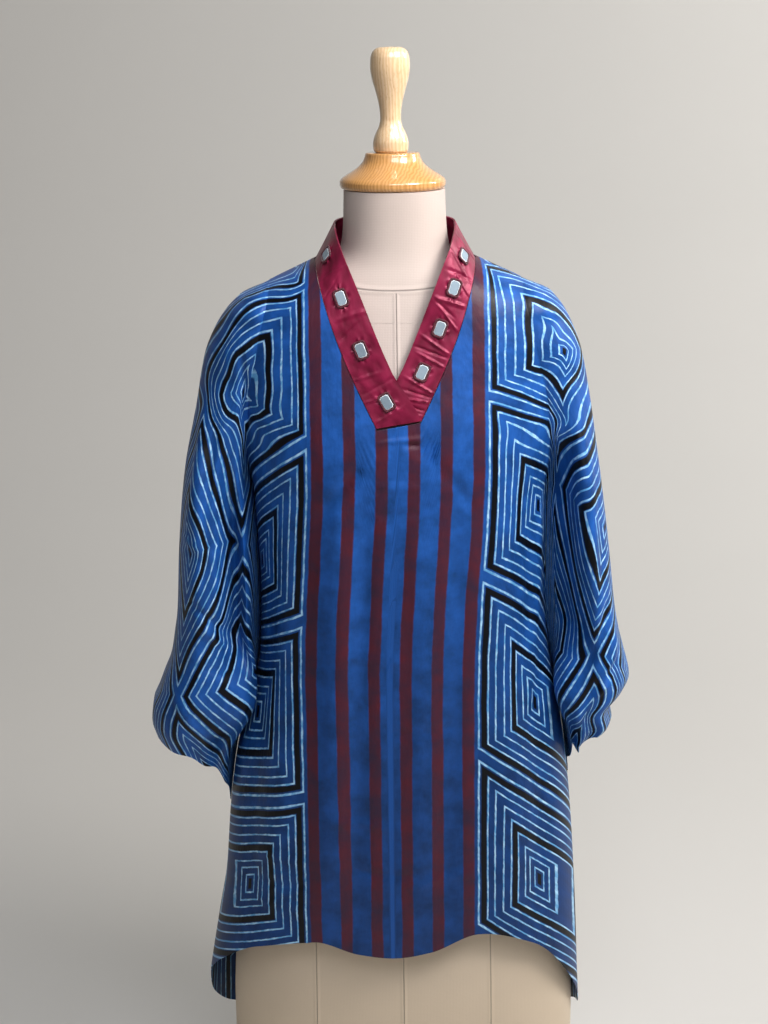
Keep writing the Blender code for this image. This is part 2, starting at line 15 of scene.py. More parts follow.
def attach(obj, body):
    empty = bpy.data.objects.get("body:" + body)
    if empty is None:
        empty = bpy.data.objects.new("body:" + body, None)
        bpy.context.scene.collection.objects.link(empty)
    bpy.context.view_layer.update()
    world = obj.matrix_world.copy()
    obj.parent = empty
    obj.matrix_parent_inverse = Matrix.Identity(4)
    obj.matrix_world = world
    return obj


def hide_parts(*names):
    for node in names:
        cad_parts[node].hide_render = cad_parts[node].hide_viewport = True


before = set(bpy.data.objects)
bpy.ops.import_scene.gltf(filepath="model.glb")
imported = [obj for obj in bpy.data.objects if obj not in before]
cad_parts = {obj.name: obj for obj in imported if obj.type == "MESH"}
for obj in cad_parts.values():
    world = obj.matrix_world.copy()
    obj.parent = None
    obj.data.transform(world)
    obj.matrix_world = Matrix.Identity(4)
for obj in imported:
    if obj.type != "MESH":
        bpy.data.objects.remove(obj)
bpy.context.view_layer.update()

# ---------------------------------------------------------------------------------------------
# Torso of the dress form: a moulded shell with no head, arms or legs, covered in natural linen
# that is cut in panels and sewn along a centre seam and two princess seams, front and back.
# It stands on its own flat underside.


def table(columns, rows):
    """Rows of numbers with named columns."""
    Row = namedtuple("Row", columns)
    return [Row(*row) for row in rows]


NECK_CUT_Z = 1.112
TORSO_SECTIONS = table("z left right front back", [
    (0.0, 0.19, 0.19, 0.102, 0.109), (0.006, 0.193, 0.193, 0.105, 0.112),
    (0.09, 0.195, 0.195, 0.107, 0.115), (0.18, 0.195, 0.195, 0.108, 0.117),
    (0.27, 0.191, 0.191, 0.108, 0.119), (0.355, 0.183, 0.183, 0.106, 0.115),
    (0.44, 0.168, 0.168, 0.101, 0.106), (0.52, 0.147, 0.147, 0.094, 0.093),
    (0.6, 0.129, 0.129, 0.089, 0.081), (0.65, 0.127, 0.127, 0.09, 0.08), (0.72, 0.135, 0.135, 0.098, 0.085),
    (0.78, 0.143, 0.143, 0.107, 0.092), (0.83, 0.147, 0.147, 0.112, 0.099),
    (0.88, 0.148, 0.148, 0.105, 0.103), (0.93, 0.15, 0.15, 0.092, 0.101),
    (0.965, 0.153, 0.153, 0.083, 0.095), (0.987, 0.152, 0.152, 0.077, 0.088),
    (0.998, 0.146, 0.146, 0.074, 0.083), (1.007, 0.134, 0.134, 0.071, 0.078),
    (1.019, 0.11, 0.11, 0.067, 0.072), (1.03, 0.085, 0.085, 0.063, 0.066),
    (1.04, 0.067, 0.067, 0.059, 0.061), (1.055, 0.0565, 0.0565, 0.0555, 0.0565),
    (1.08, 0.0535, 0.0535, 0.0535, 0.0535), (NECK_CUT_Z, 0.0525, 0.0525, 0.0525, 0.0525),
])
TORSO_ROUND = 2.2  # superellipse exponent of its level sections
TORSO_SPOKES = 240
TORSO_RING_GAP = 0.006
PANEL_SEAM_HALF = 0.0011
PRINCESS_TOP_Z = 0.985
NECK_SEAM_Z = (1.018, 1.058)  # in front and at the back
NECK_SEAM_RISE = 0.6
NECK_FRONT_Y = -0.064
PRINCESS_X = [(0.0, 0.098), (0.35, 0.095), (0.62, 0.072), (0.84, 0.085), (0.99, 0.098)]
NO_SEAM = 0.1


def through(knots, values):
    """Smooth line through the knots that never overshoots a value; it takes arrays."""
    order = np.argsort(knots)
    xs = np.asarray(knots, float)[order]
    ys = np.asarray(values, float)[order]
    steps = np.diff(ys) / np.diff(xs)
    slopes = np.concatenate([steps[:1], np.zeros(len(xs) - 2), steps[-1:]])
    for k, (before, after) in enumerate(zip(steps, steps[1:]), start=1):
        if before * after > 0:
            slopes[k] = 2 * (before * after) / (before + after)

    def value(x):
        x = np.clip(x, xs[0], xs[-1])
        k = np.clip(np.searchsorted(xs, x, side="right") - 1, 0, len(xs) - 2)
        width = xs[k + 1] - xs[k]
        t = (x - xs[k]) / width
        return (
            ys[k] * (1 + 2 * t) * (1 - t) ** 2
            + slopes[k] * width * t * (1 - t) ** 2
            + ys[k + 1] * t * t * (3 - 2 * t)
            - slopes[k + 1] * width * t * t * (1 - t)
        )

    return value


def tracks(rows):
    """One smooth line for each column of a table, along its first column."""
    knots, *others = zip(*rows)
    return {name: through(knots, values) for name, values in zip(rows[0]._fields[1:], others)}


def ease(x, start=0.0, end=1.0):
    t = np.clip((np.asarray(x, float) - start) / (end - start), 0.0, 1.0)
    return t * t * (3 - 2 * t)


def piece_from(name, points, faces, finish, smooth_angle=50):
    """Object from arrays of points and faces, smooth but for its sharp edges."""
    mesh = bpy.data.meshes.new(name)
    mesh.from_pydata([tuple(p) for p in points], [], [tuple(int(i) for i in f) for f in faces])
    mesh.materials.append(finish)
    mesh.shade_smooth()
    mesh.set_sharp_from_angle(angle=math.radians(smooth_angle))
    piece = bpy.data.objects.new(name, mesh)
    bpy.context.scene.collection.objects.link(piece)
    return piece


def keep(piece, name, vectors):
    """Store a vector for each point of a piece, for its material to read."""
    stored = piece.data.attributes.new(name, "FLOAT_VECTOR", "POINT")
    stored.data.foreach_set("vector", np.asarray(vectors, np.float32).ravel())


def ring_faces(rings, spokes):
    """Side faces of stacked rings, and a flat cap at each end."""
    faces = []
    for row in range(rings - 1):
        for k in range(spokes):
            a = row * spokes + k
            b = row * spokes + (k + 1) % spokes
            faces.append((a, b, b + spokes, a + spokes))
    return faces + [range(spokes)[::-1], range((rings - 1) * spokes, rings * spokes)]


def levels_between(rows, count_for):
    """Every row's z, and evenly spaced ones between them."""
    levels = [rows[0].z]
    for low, high in zip(rows, rows[1:]):
        count = count_for(high.z - low.z)
        levels += [low.z + (high.z - low.z) * k / count for k in range(1, count + 1)]
    return levels


def linear(colour):
    """An sRGB hex colour as linear red, green, blue and alpha."""
    parts = [int(colour[k : k + 2], 16) / 255 for k in (1, 3, 5)]
    return tuple(c / 12.92 if c <= 0.04045 else ((c + 0.055) / 1.055) ** 2.4 for c in parts) + (1.0,)


def surface(name, roughness, ior=1.5, metallic=0.0):
    """A new material with the values its real surface has."""
    finish = bpy.data.materials.new(name)
    finish.use_nodes = True
    sockets = finish.node_tree.nodes["Principled BSDF"].inputs
    for key, value in (("Roughness", roughness), ("IOR", ior), ("Metallic", metallic)):
        sockets[key].default_value = value
    return finish


def node(finish, kind, inputs=(), give=0, stops=None, **settings):
    """Add a node and give one of its outputs.

    inputs are by name or number, or in the node's own order: values, or the sockets that feed it.
    """
    tree = finish.node_tree
    made = tree.nodes.get("Principled BSDF") if kind == "BsdfPrincipled" else None
    made = made or tree.nodes.new("ShaderNode" + kind)
    for name, value in settings.items():
        setattr(made, name, value)
    if stops:
        elements = made.color_ramp.elements
        elements.remove(elements[1])
        elements[0].position, elements[0].color = stops[0]
        for place, colour in stops[1:]:
            elements.new(place).color = colour
    for key, value in inputs.items() if isinstance(inputs, dict) else enumerate(inputs):
        if isinstance(value, bpy.types.NodeSocket):
            tree.links.new(value, made.inputs[key])
        else:
            made.inputs[key].default_value = value
    return made.outputs[give]


torso_side = tracks(TORSO_SECTIONS)
princess = through(*zip(*PRINCESS_X))


def torso_ring(z):
    angle = 2 * np.pi * np.arange(TORSO_SPOKES) / TORSO_SPOKES
    c, s = np.cos(angle), np.sin(angle)
    half = np.where(c > 0, torso_side["right"](z), torso_side["left"](z))
    depth = np.where(s > 0, torso_side["back"](z), torso_side["front"](z))
    x = half * np.sign(c) * np.abs(c) ** (2 / TORSO_ROUND)
    y = depth * np.sign(s) * np.abs(s) ** (2 / TORSO_ROUND)
    return np.stack([x, y, np.full_like(x, z)], axis=1)


# Natural linen, plain woven and stretched over the form: matt, with uneven threads and a faint
# fuzz. Its threads are 0.6 mm apart, drawn 1.6 mm apart so that they show.
LINEN_THREAD = 0.0016
WAVE_SPAN = 0.314  # metres between two crests of a wave texture at scale 1
linen = surface("natural_linen", 0.86)
add = partial(node, linen)
place = add("TexCoord", give="Object")
threads = (place, WAVE_SPAN / LINEN_THREAD, 1.0, 2.0)
weft = add("TexWave", threads, give=1, bands_direction="Z")
warp = add("TexWave", threads, give=1, bands_direction="X")
slubs = add("TexNoise", {"Vector": place, "Scale": 420.0, "Detail": 4.0, "Roughness": 0.65})
patches = add("TexNoise", {"Vector": place, "Scale": 7.0, "Detail": 3.0})
woven = add("Math", (weft, warp), operation="MULTIPLY")
woven = add("Math", (woven, slubs))
height = add("SeparateXYZ", (place,), give="Z")
# The linen's tone changes with height: yellower below the waist, greyer and a little pinker from the bust to
# the neck
tone_by_height = ((0.0, "#d3c1a8"), (0.35, "#d3c3b0"), (0.80, "#cbbfb8"), (1.0, "#c9bab1"))
tone_by_height = [(at, linear(colour)) for at, colour in tone_by_height]
tone_by_height = add("ValToRGB", (add("MapRange", (height, 0.1, 1.1)),), stops=tone_by_height)
mottle = add("MapRange", (patches, 0.3, 0.7, 0.93, 1.05))
fleck = add("MapRange", (woven, 0.3, 1.3, 0.98, 1.015))
shade = add("Math", (mottle, fleck), operation="MULTIPLY")
colour = add("VectorMath", {0: tone_by_height, "Scale": shade}, operation="SCALE")
# Seams: a fine groove with the linen drawn up on both its sides, painted darker in the groove as painted
# shade and a little brighter beside it as painted highlight
gaps = add("Attribute", give="Vector", attribute_name="seam_gaps")
gaps = [add("SeparateXYZ", (gaps,), give=axis) for axis in "XYZ"]
gaps = [add("Math", (gap,), operation="ABSOLUTE") for gap in gaps]
nearest = add("Math", gaps[:2], operation="MINIMUM")
nearest = add("Math", (nearest, gaps[2]), operation="MINIMUM")
groove = add("MapRange", (nearest, 0.0, PANEL_SEAM_HALF), interpolation_type="SMOOTHSTEP")
welt = add("MapRange", (nearest, 0.0045, 0.0012), interpolation_type="SMOOTHSTEP")
groove_painted_shade = add("MapRange", (groove, 0.0, 1.0, 0.50, 1.0))
welt_painted_highlight = add("MapRange", (welt, 0.0, 1.0, 1.0, 1.05))
seam_painted_light = add("Math", (groove_painted_shade, welt_painted_highlight), operation="MULTIPLY")
colour = add("VectorMath", {0: colour, "Scale": seam_painted_light}, operation="SCALE")
seam_height = add("Math", (groove, welt))
weave_bump = add("Bump", {"Height": woven, "Strength": 0.22, "Distance": 0.0003})
bump = add("Bump", {"Height": seam_height, "Strength": 0.8, "Distance": 0.0006, "Normal": weave_bump})
add("BsdfPrincipled", {"Base Color": colour, "Normal": bump, "Sheen Weight": 0.08, "Sheen Roughness": 0.5})

torso_levels = levels_between(TORSO_SECTIONS, lambda gap: max(2, round(gap / TORSO_RING_GAP)))
torso_points = np.concatenate([torso_ring(z) for z in torso_levels])
torso = piece_from("form_torso_linen", torso_points, ring_faces(len(torso_levels), TORSO_SPOKES), linen)
x, y, z = torso_points.T
neck_seam = np.minimum(NECK_SEAM_Z[0] + NECK_SEAM_RISE * (y - NECK_FRONT_Y), NECK_SEAM_Z[1])
beside_princess = np.where(z < PRINCESS_TOP_Z, np.abs(x) - princess(z), NO_SEAM)
beside_centre = np.where(z < neck_seam, x, NO_SEAM)  # the neck piece has no seam in the middle
keep(torso, "seam_gaps", np.stack([beside_centre, beside_princess, z - neck_seam], axis=1))
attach(torso, "root")
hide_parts("form_torso")

# ---------------------------------------------------------------------------------------------
# Neck cap and finial: beech turned on a lathe, sanded and dipped in clear gloss varnish. The cap
# closes the neck and the finial is doweled into it, each a little off the form's axis.

CAP_PROFILE = table("z radius", [
    (1.1123, 0.0505), (1.1127, 0.0523), (1.1143, 0.0542), (1.117, 0.055), (1.1195, 0.055), (1.1225, 0.0535),
    (1.126, 0.049), (1.13, 0.0425), (1.1345, 0.036), (1.14, 0.031), (1.145, 0.0288), (1.1475, 0.0281),
    (1.1487, 0.0272), (1.149, 0.0258),
])
FINIAL_PROFILE = table("z radius", [
    (1.1493, 0.016), (1.15, 0.017), (1.152, 0.018), (1.158, 0.0184), (1.164, 0.0173), (1.17, 0.0148),
    (1.176, 0.012), (1.183, 0.0107), (1.192, 0.0112), (1.202, 0.013), (1.213, 0.016), (1.224, 0.019),
    (1.234, 0.0204), (1.243, 0.02), (1.249, 0.0182), (1.2525, 0.015), (1.2541, 0.011), (1.2545, 0.006),
])
CAP_X = -0.0015
FINIAL_X = -0.0030
TURNED_SPOKES = 96
TURNED_STEPS = 6  # rings between two rows of a profile


def turned_piece(name, profile, x, finish, stands_for):
    radius = tracks(profile)["radius"]
    levels = levels_between(profile, lambda gap: TURNED_STEPS)
    angle = 2 * np.pi * np.arange(TURNED_SPOKES) / TURNED_SPOKES
    c, s = np.cos(angle), np.sin(angle)
    rings = [np.stack([x + radius(z) * c, radius(z) * s, np.full_like(angle, z)], axis=1) for z in levels]
    piece = piece_from(name, np.concatenate(rings), ring_faces(len(levels), TURNED_SPOKES), finish)
    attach(piece, "root")
    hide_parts(stands_for)


def varnished_beech(name, light, dark, heart_x):
    """Beech under gloss varnish: growth rings 3 mm apart cut lengthways, short dark rays."""
    wood = surface(name, 0.32)
    add = partial(node, wood)
    place = add("TexCoord", give="Object")
    tilted = add("Mapping", (place, (heart_x, 0.02, 0.0), (0.10, 0.06, 0.0), (1.0, 1.0, 0.12)))
    rings = add("TexWave", (tilted, 95.0, 5.0, 3.0, 1.4), give=1, wave_type="RINGS", rings_direction="Z")
    drawn = add("Mapping", {"Vector": place, "Scale": (900.0, 900.0, 130.0)})
    rays = add("TexNoise", {"Vector": drawn, "Scale": 1.0, "Detail": 2.0})
    rays = add("MapRange", (rays, 0.56, 0.70))
    rays = add("Math", (rays, 0.35), operation="MULTIPLY")
    grain = add("Mix", {0: rings, 6: linear(light), 7: linear(dark)}, give=2, data_type="RGBA")
    colour = add("Mix", {0: rays, 6: grain, 7: linear("#a8743a")}, give=2, data_type="RGBA")
    ripple = add("TexNoise", {"Vector": place, "Scale": 60.0, "Detail": 1.0})
    bump = add("Bump", {"Height": ripple, "Strength": 0.10, "Distance": 0.0006})
    varnish = {"Coat Weight": 1.0, "Coat Roughness": 0.06, "Coat IOR": 1.5}
    add("BsdfPrincipled", {"Base Color": colour, "Normal": bump, **varnish})
    return wood


cap_beech = varnished_beech("varnished_beech_cap", "#dba76a", "#c48b4c", 0.06)
finial_beech = varnished_beech("varnished_beech_finial", "#e8cca6", "#dab78c", 0.03)
turned_piece("form_cap_turned", CAP_PROFILE, CAP_X, cap_beech, "form_neck_cap")
turned_piece("form_finial_turned", FINIAL_PROFILE, FINIAL_X, finial_beech, "form_finial")

# ---------------------------------------------------------------------------------------------
# Front and back of the kaftan: light viscose with a soft gloss, each cut in one with its two
# sleeve halves and sewn to the other along shoulders, sleeves and sides. Neck, cuffs and hem are
# open, and the edges are turned in a narrow hem.

CLOTH = 0.0007
SEAM = 0.0003
LEVEL_MATCH = 1e-6  # levels this near each other are one
NECK_POINT_X = 0.083  # where the neckline crosses the shoulder seam
NECK_POINT_Z = 1.0415
SHOULDER_SLOPE = math.tan(math.radians(25))
FOLD_START_X = 0.131  # where the sleeve's folds begin on the shoulder seam
TIP_X = 0.160  # where the sleeve turns down
UNDERARM_Z = 0.62
CUFF_Z = {-1: 0.525, 1: 0.537}
UNDERARM_SEAM_END_Z = {-1: 0.432, 1: 0.462}
PANEL_HALF = 0.0925  # half of the striped centre panel
PANEL_DRIFT = 0.0115  # the panel hangs this far to the left below the bust
PANEL_DRIFT_Z = 0.86
PANEL_DRIFT_FALL = 0.26
CLOTH_ROUND = 2.4
SIDE_Y = 0.012
SLEEVE_CLEAR = 0.0004
BRIDGE_FORWARD = 0.044  # how far forward the sleeve leaves the body under the shoulder
BRIDGE_OUT = 0.010
BRIDGE_STARTS_Z = (0.79, 0.875)
BRIDGE_ENDS_Z = (0.95, 1.0)
BACK_DEPTH = 0.92
NECK_BACK_ROUND = 0.8
V_BOW = 0.006
V_FOOT = {-1: (-0.0210, 0.8810), 1: (0.0235, 0.8885)}
BODY_SECTIONS = table("z left right front back", [
    (0.08, 0.236, 0.208, 0.126, 0.135), (0.166, 0.23, 0.204, 0.1255, 0.1335),
    (0.226, 0.222, 0.201, 0.125, 0.132), (0.3, 0.209, 0.198, 0.1245, 0.129),
    (0.355, 0.199, 0.195, 0.124, 0.1255), (0.43, 0.192, 0.19, 0.1235, 0.121),
    (0.5, 0.182, 0.183, 0.1225, 0.117), (0.56, 0.165, 0.174, 0.122, 0.115),
    (0.62, 0.153, 0.163, 0.1215, 0.114), (0.69, 0.15, 0.158, 0.121, 0.113),
    (0.77, 0.153, 0.158, 0.1205, 0.113), (0.84, 0.157, 0.16, 0.119, 0.1135),
    (0.88, 0.16, 0.161, 0.1145, 0.114), (0.93, 0.164, 0.164, 0.104, 0.112),
    (0.965, 0.168, 0.168, 0.097, 0.106), (0.987, 0.167, 0.167, 0.0925, 0.1),
    (1.0, 0.16, 0.16, 0.089, 0.0945), (1.01, 0.147, 0.147, 0.0865, 0.0895),
    (1.019, 0.1312, 0.1312, 0.084, 0.085), (1.03, 0.108, 0.108, 0.08, 0.078),
    (NECK_POINT_Z, 0.0835, 0.0835, 0.075, 0.07),
])
# Where each column of the cloth leaves the neckline or the shoulder seam, and where it hangs:
# top is below 0 on the neckline and 0 to 1 on the seam, reach is 0.5 at the panel's edge.
FRONT_COLUMNS = table("top reach", [
    (-2.0, 0.0), (-1.0, 0.12), (-0.68, 0.21), (-0.42, 0.29), (-0.25, 0.355), (-0.14, 0.41), (-0.06, 0.455),
    (0.0, 0.5), (0.2, 0.6), (0.4, 0.7), (0.6, 0.8), (0.8, 0.9), (1.0, 1.0),
])
BACK_COLUMNS = table("top reach", [
    (-2.0, 0.0), (-0.8, 0.12), (-0.6, 0.23), (-0.36, 0.35), (-0.16, 0.43), (0.0, 0.5), (0.25, 0.62),
    (0.5, 0.75), (0.75, 0.88), (1.0, 1.0),
])
# The hem's height from the left side, reach -1, to the right side
FRONT_HEM = table("reach z", [
    (-1.0, 0.222), (-0.84, 0.262), (-0.66, 0.297), (-0.44, 0.314), (-0.2, 0.302), (0.0, 0.298),
    (0.22, 0.304), (0.5, 0.322), (0.66, 0.3), (0.84, 0.238), (1.0, 0.172),
])
BACK_HEM = table("reach z", [
    (-1.0, 0.222), (-0.9, 0.17), (-0.75, 0.132), (-0.5, 0.117), (0.0, 0.112), (0.55, 0.118), (0.8, 0.138),
    (1.0, 0.172),
])
RUFFLE_DEPTH = {-1: 0.0025, 1: 0.0060}  # the cuff's edge stands in waves, more on the right
RUFFLE_DROP = {-1: 0.0020, 1: 0.0060}
RUFFLE_WAVES = (4.2, 3.36)  # waves across the cuff, in and out and up and down
RUFFLE_ROW = 16
SLEEVE_SECTIONS = table("z left right depth", [
    (0.45, 0.236, 0.19, 0.03), (0.475, 0.248, 0.1945, 0.042), (0.49, 0.2545, 0.201, 0.052),
    (0.502, 0.262, 0.208, 0.06), (0.515, 0.268, 0.205, 0.068), (0.527, 0.272, 0.219, 0.074),
    (0.541, 0.2752, 0.2335, 0.081), (0.557, 0.2735, 0.23, 0.085), (0.576, 0.2655, 0.246, 0.088),
    (0.59, 0.26, 0.252, 0.088), (0.611, 0.2515, 0.247, 0.086), (0.635, 0.247, 0.241, 0.083),
    (0.667, 0.242, 0.235, 0.08), (0.74, 0.237, 0.2265, 0.075), (0.82, 0.228, 0.216, 0.068),
    (0.89, 0.213, 0.206, 0.055), (0.944, 0.202, 0.1955, 0.034), (0.97, 0.191, 0.186, 0.021),
    (0.99, 0.178, 0.1755, 0.009), (1.004, 0.164, 0.164, 0.0),
])
# A sleeve's folds across its width: out is 0 beside the body and 1 at its seam, fold is how far
# the cloth stands off there, as a share of the sleeve's depth.
FRONT_FOLDS = {
    -1: table("column out fold", [
        (0.0, 0.0, 0.0), (0.12, 0.05, 0.38), (0.26, 0.15, 0.74), (0.4, 0.3, 0.8), (0.56, 0.5, 0.96),
        (0.68, 0.66, 1.0), (0.82, 0.86, 0.78), (0.92, 0.97, 0.42), (1.0, 1.0, 0.0),
    ]),
    1: table("column out fold", [
        (0.0, 0.0, 0.0), (0.14, 0.12, 0.12), (0.3, 0.29, 0.36), (0.46, 0.46, 0.76), (0.62, 0.65, 1.0),
        (0.78, 0.85, 0.82), (0.91, 0.97, 0.42), (1.0, 1.0, 0.0),
    ]),
}
BACK_FOLDS = table("column out fold", [
    (0.0, 0.0, 0.0), (0.18, 0.1, 0.3), (0.4, 0.32, 0.78), (0.6, 0.6, 1.0), (0.8, 0.87, 0.75),
    (0.92, 0.97, 0.4), (1.0, 1.0, 0.0),
])
# The folds where the sleeve laps over the body round the underarm, and the levels where that is
LAPPED_FOLDS = table("column out fold", [
    (0.0, 0.0, 0.0), (0.12, 0.0, 0.28), (0.25, -0.065, 0.62), (0.38, 0.01, 0.86), (0.5, 0.22, 0.93),
    (0.64, 0.52, 1.0), (0.78, 0.82, 0.8), (0.91, 0.97, 0.42), (1.0, 1.0, 0.0),
])
LAP_STARTS_Z = (0.48, 0.57)
LAP_ABOVE_UNDERARM = 0.04
LAP_FADE = 0.09
NOTCH = {"column": 0.38, "width": 0.09, "share": 0.34}  # a trough down the left sleeve
NOTCH_STARTS_Z = (0.56, 0.66)
NOTCH_ENDS_Z = (0.74, 0.86)
# Rows are numbered from the shoulder seam down, and lie a little closer together near it.
SIDE_SPREAD = 1.55
SEAM_SPREAD = 1.15
LEVEL_TURN = 1.7  # how early, from the body out, rows turn to their levels at the sleeve's seam
UNDERARM_ROW = 14
SLEEVE_ROW_COUNT = 20
BODY_ROW_COUNT = 26
SPLITS = 6  # rows and columns of the fine cloth for each coarse one
HEM_ROWS = [0.13, 0.10, 0.04]  # finer rows just above the hem
SLEEVE_COLUMN_COUNT = 56
# Width and length of each cut laid flat, and its area
FRONT_CUT = (1.08, 0.88)
FRONT_AREA = 0.62
BACK_CUT = (1.08, 1.02)
BACK_AREA = 0.72

body_at = tracks(BODY_SECTIONS)
sleeve_at = tracks(SLEEVE_SECTIONS)
lapped_at = tracks(LAPPED_FOLDS)
hem_at = {-1: tracks(FRONT_HEM)["z"], 1: tracks(BACK_HEM)["z"]}


def side_name(side):
    return "left" if side < 0 else "right"


def shoulder_z(x):
    return NECK_POINT_Z - (np.abs(x) - NECK_POINT_X) * SHOULDER_SLOPE


def bridged(z):
    """1 just under the shoulder, where the cloth still spans from the body to the sleeve."""
    return ease(z, *BRIDGE_STARTS_Z) * (1 - ease(z, *BRIDGE_ENDS_Z))


def panel_drift(z):
    return -PANEL_DRIFT * ease(PANEL_DRIFT_Z - z, 0.0, PANEL_DRIFT_FALL)


def body_half(x, z):
    half = np.where(np.asarray(x) < 0, body_at["left"](z), body_at["right"](z))
    return half + BRIDGE_OUT * bridged(z)


def body_depth(z, face):
    return body_at["front" if face < 0 else "back"](z)


def body_y(x, z, face):
    """Depth of the worn body at x on a level; face is -1 in front and 1 behind."""
    share = np.minimum(np.abs(x) / body_half(x, z), 1.0) ** CLOTH_ROUND
    return face * body_depth(z, face) * (1 - share) ** (1 / CLOTH_ROUND)


def neck_curve(side, t, face):
    """Point of the neckline from the neck point, t = 0, to the centre back or the V's foot."""
    if face > 0:
        x = side * NECK_POINT_X * max(math.cos(math.pi / 2 * t), 0.0) ** NECK_BACK_ROUND
        return np.array((x, float(body_y(side * abs(x), NECK_POINT_Z, 1)), NECK_POINT_Z))
    share = t**1.5
    foot_x, foot_z = V_FOOT[side]
    x = side * (NECK_POINT_X + V_BOW * math.sin(math.pi * share))
    x += (foot_x - side * NECK_POINT_X) * share
    z = NECK_POINT_Z + (foot_z - NECK_POINT_Z) * share
    return np.array((x, float(body_y(x, z, -1)), z))


def top_of(side, top, face):
    """Where a column leaves the neckline or the shoulder seam."""
    if top > 0:
        x = side * (NECK_POINT_X + (FOLD_START_X - NECK_POINT_X) * top)
        return np.array((x, 0.0, float(shoulder_z(x))))
    if top >= -1:
        return neck_curve(side, -top, face)
    own = neck_curve(side, 1.0, face)
    if face > 0:
        return own
    middle = (neck_curve(-1, 1.0, face) + neck_curve(1, 1.0, face)) / 2
    return own + (middle - own) * (-top - 1)


def hanging_x(side, reach, z, face):
    """x of a column where it hangs free, below the shoulder."""
    drift = panel_drift(z)
    if reach <= 0.5:
        return side * reach / 0.5 * PANEL_HALF + drift
    half = body_half(side, z)
    edge = np.minimum(np.abs(side * PANEL_HALF + drift) / half, 1.0)
    edge = np.arccos(edge ** (CLOTH_ROUND / 2))
    inset = SIDE_Y * ease(z, UNDERARM_Z, UNDERARM_Z + 0.10) + BRIDGE_FORWARD * bridged(z)
    line = np.arcsin((inset / body_depth(z, face)) ** (CLOTH_ROUND / 2))
    angle = edge + (line - edge) * (reach - 0.5) / 0.5
    return side * half * np.cos(angle) ** (2 / CLOTH_ROUND)


def body_line(side, top, reach, z, face):
    """Points of a column of the body at the levels z."""
    start = top_of(side, top, face)
    drop = start[2] - z
    x = start[0] + (hanging_x(side, reach, z, face) - start[0]) * ease(drop, 0.0, 0.14)
    y = np.where(drop < LEVEL_MATCH, start[1], body_y(x, z, face))
    if reach == 1:
        y = np.where(z < UNDERARM_Z - LEVEL_MATCH, 0.0, y)
    return np.stack([x, y + face * SEAM / 2, z], axis=-1)


def side_levels(side, rows):
    """Levels of rows where they cross the side line, from shoulder seam to hem."""
    top = float(shoulder_z(FOLD_START_X))
    hem = float(hem_at[-1](side))
    upper = top - (top - UNDERARM_Z) * (np.minimum(rows, UNDERARM_ROW) / UNDERARM_ROW) ** SIDE_SPREAD
    below = np.maximum(rows - UNDERARM_ROW, 0) / (BODY_ROW_COUNT - UNDERARM_ROW)
    return upper + (hem - UNDERARM_Z) * below


def body_levels(side, top, reach, rows, face):
    """Levels of one column: the rows' shares of the side line, from its own top to its hem."""
    line = side_levels(side, rows)
    start = top_of(side, top, face)[2]
    hem = float(hem_at[face](side * reach))
    return start + (hem - start) * (line[0] - line) / (line[0] - line[-1])


def inner_line(side, z, face):
    """Where the sleeve leaves the body, or, below the underarm, its own seam."""
    upper = body_line(side, 1.0, 1.0, np.maximum(z, UNDERARM_Z), face)
    clear = SLEEVE_CLEAR * np.minimum(np.maximum(UNDERARM_Z - z, 0) / 0.03, 1.0)
    lower = side * (body_at[side_name(side)](z) + clear)
    lower = np.stack([lower, np.full_like(z, face * SEAM / 2), z], axis=-1)
    return np.where((z >= UNDERARM_Z - LEVEL_MATCH)[:, None], upper, lower)


def sleeve_line(side, rows, column, face, folds):
    """Points of one column of a sleeve; column is 0 beside the body and 1 at the sleeve's seam."""
    tip_z = float(shoulder_z(TIP_X))
    outer_z = tip_z + (CUFF_Z[side] - tip_z) * (rows / SLEEVE_ROW_COUNT) ** SEAM_SPREAD
    below = np.maximum(rows - UNDERARM_ROW, 0) / (SLEEVE_ROW_COUNT - UNDERARM_ROW)
    seam_z = UNDERARM_Z + (UNDERARM_SEAM_END_Z[side] - UNDERARM_Z) * below
    inner_z = np.where(rows <= UNDERARM_ROW, side_levels(side, rows), seam_z)
    z = inner_z + (outer_z - inner_z) * (1 - (1 - column) ** LEVEL_TURN)
    ruffled = ease(rows, RUFFLE_ROW, SLEEVE_ROW_COUNT) * math.sin(math.pi * column)
    in_and_out, up_and_down = (2 * math.pi * waves * column for waves in RUFFLE_WAVES)
    z = z + RUFFLE_DROP[side] * ruffled * math.sin(up_and_down)
    inner = inner_line(side, np.maximum(z, UNDERARM_SEAM_END_Z[side]), face)
    if column == 0:
        return inner
    lapped = ease(UNDERARM_Z + LAP_ABOVE_UNDERARM - z, 0.0, LAP_FADE) * ease(z, *LAP_STARTS_Z)
    own, lap = ([line[key](column) for key in ("out", "fold")] for line in (folds, lapped_at))
    out, fold = (a + (b - a) * lapped for a, b in zip(own, lap))
    if face < 0 and side < 0:
        near = math.exp(-(((column - NOTCH["column"]) / NOTCH["width"]) ** 2))
        fold = fold - NOTCH["share"] * near * (1 - ease(z, *NOTCH_ENDS_Z)) * ease(z, *NOTCH_STARTS_Z)
    depth = (sleeve_at["depth"](z) - BRIDGE_FORWARD * bridged(z)) * (BACK_DEPTH if face > 0 else 1.0)
    depth = np.maximum(depth, 0.0)
    x = inner[:, 0] + (side * sleeve_at[side_name(side)](z) - inner[:, 0]) * out
    round_off = np.sqrt(np.maximum(1 - out * out, 0))
    y = (inner[:, 1] - face * SEAM / 2) * round_off + face * fold * depth
    y = y + face * RUFFLE_DEPTH[side] * ruffled * math.sin(in_and_out + 0.9)
    line = np.stack([x, y + face * SEAM / 2, z], axis=-1)
    seam_x = side * (FOLD_START_X + (TIP_X - FOLD_START_X) * folds["out"](column))
    line[rows == 0] = (seam_x, face * SEAM / 2, float(shoulder_z(seam_x)))
    return line


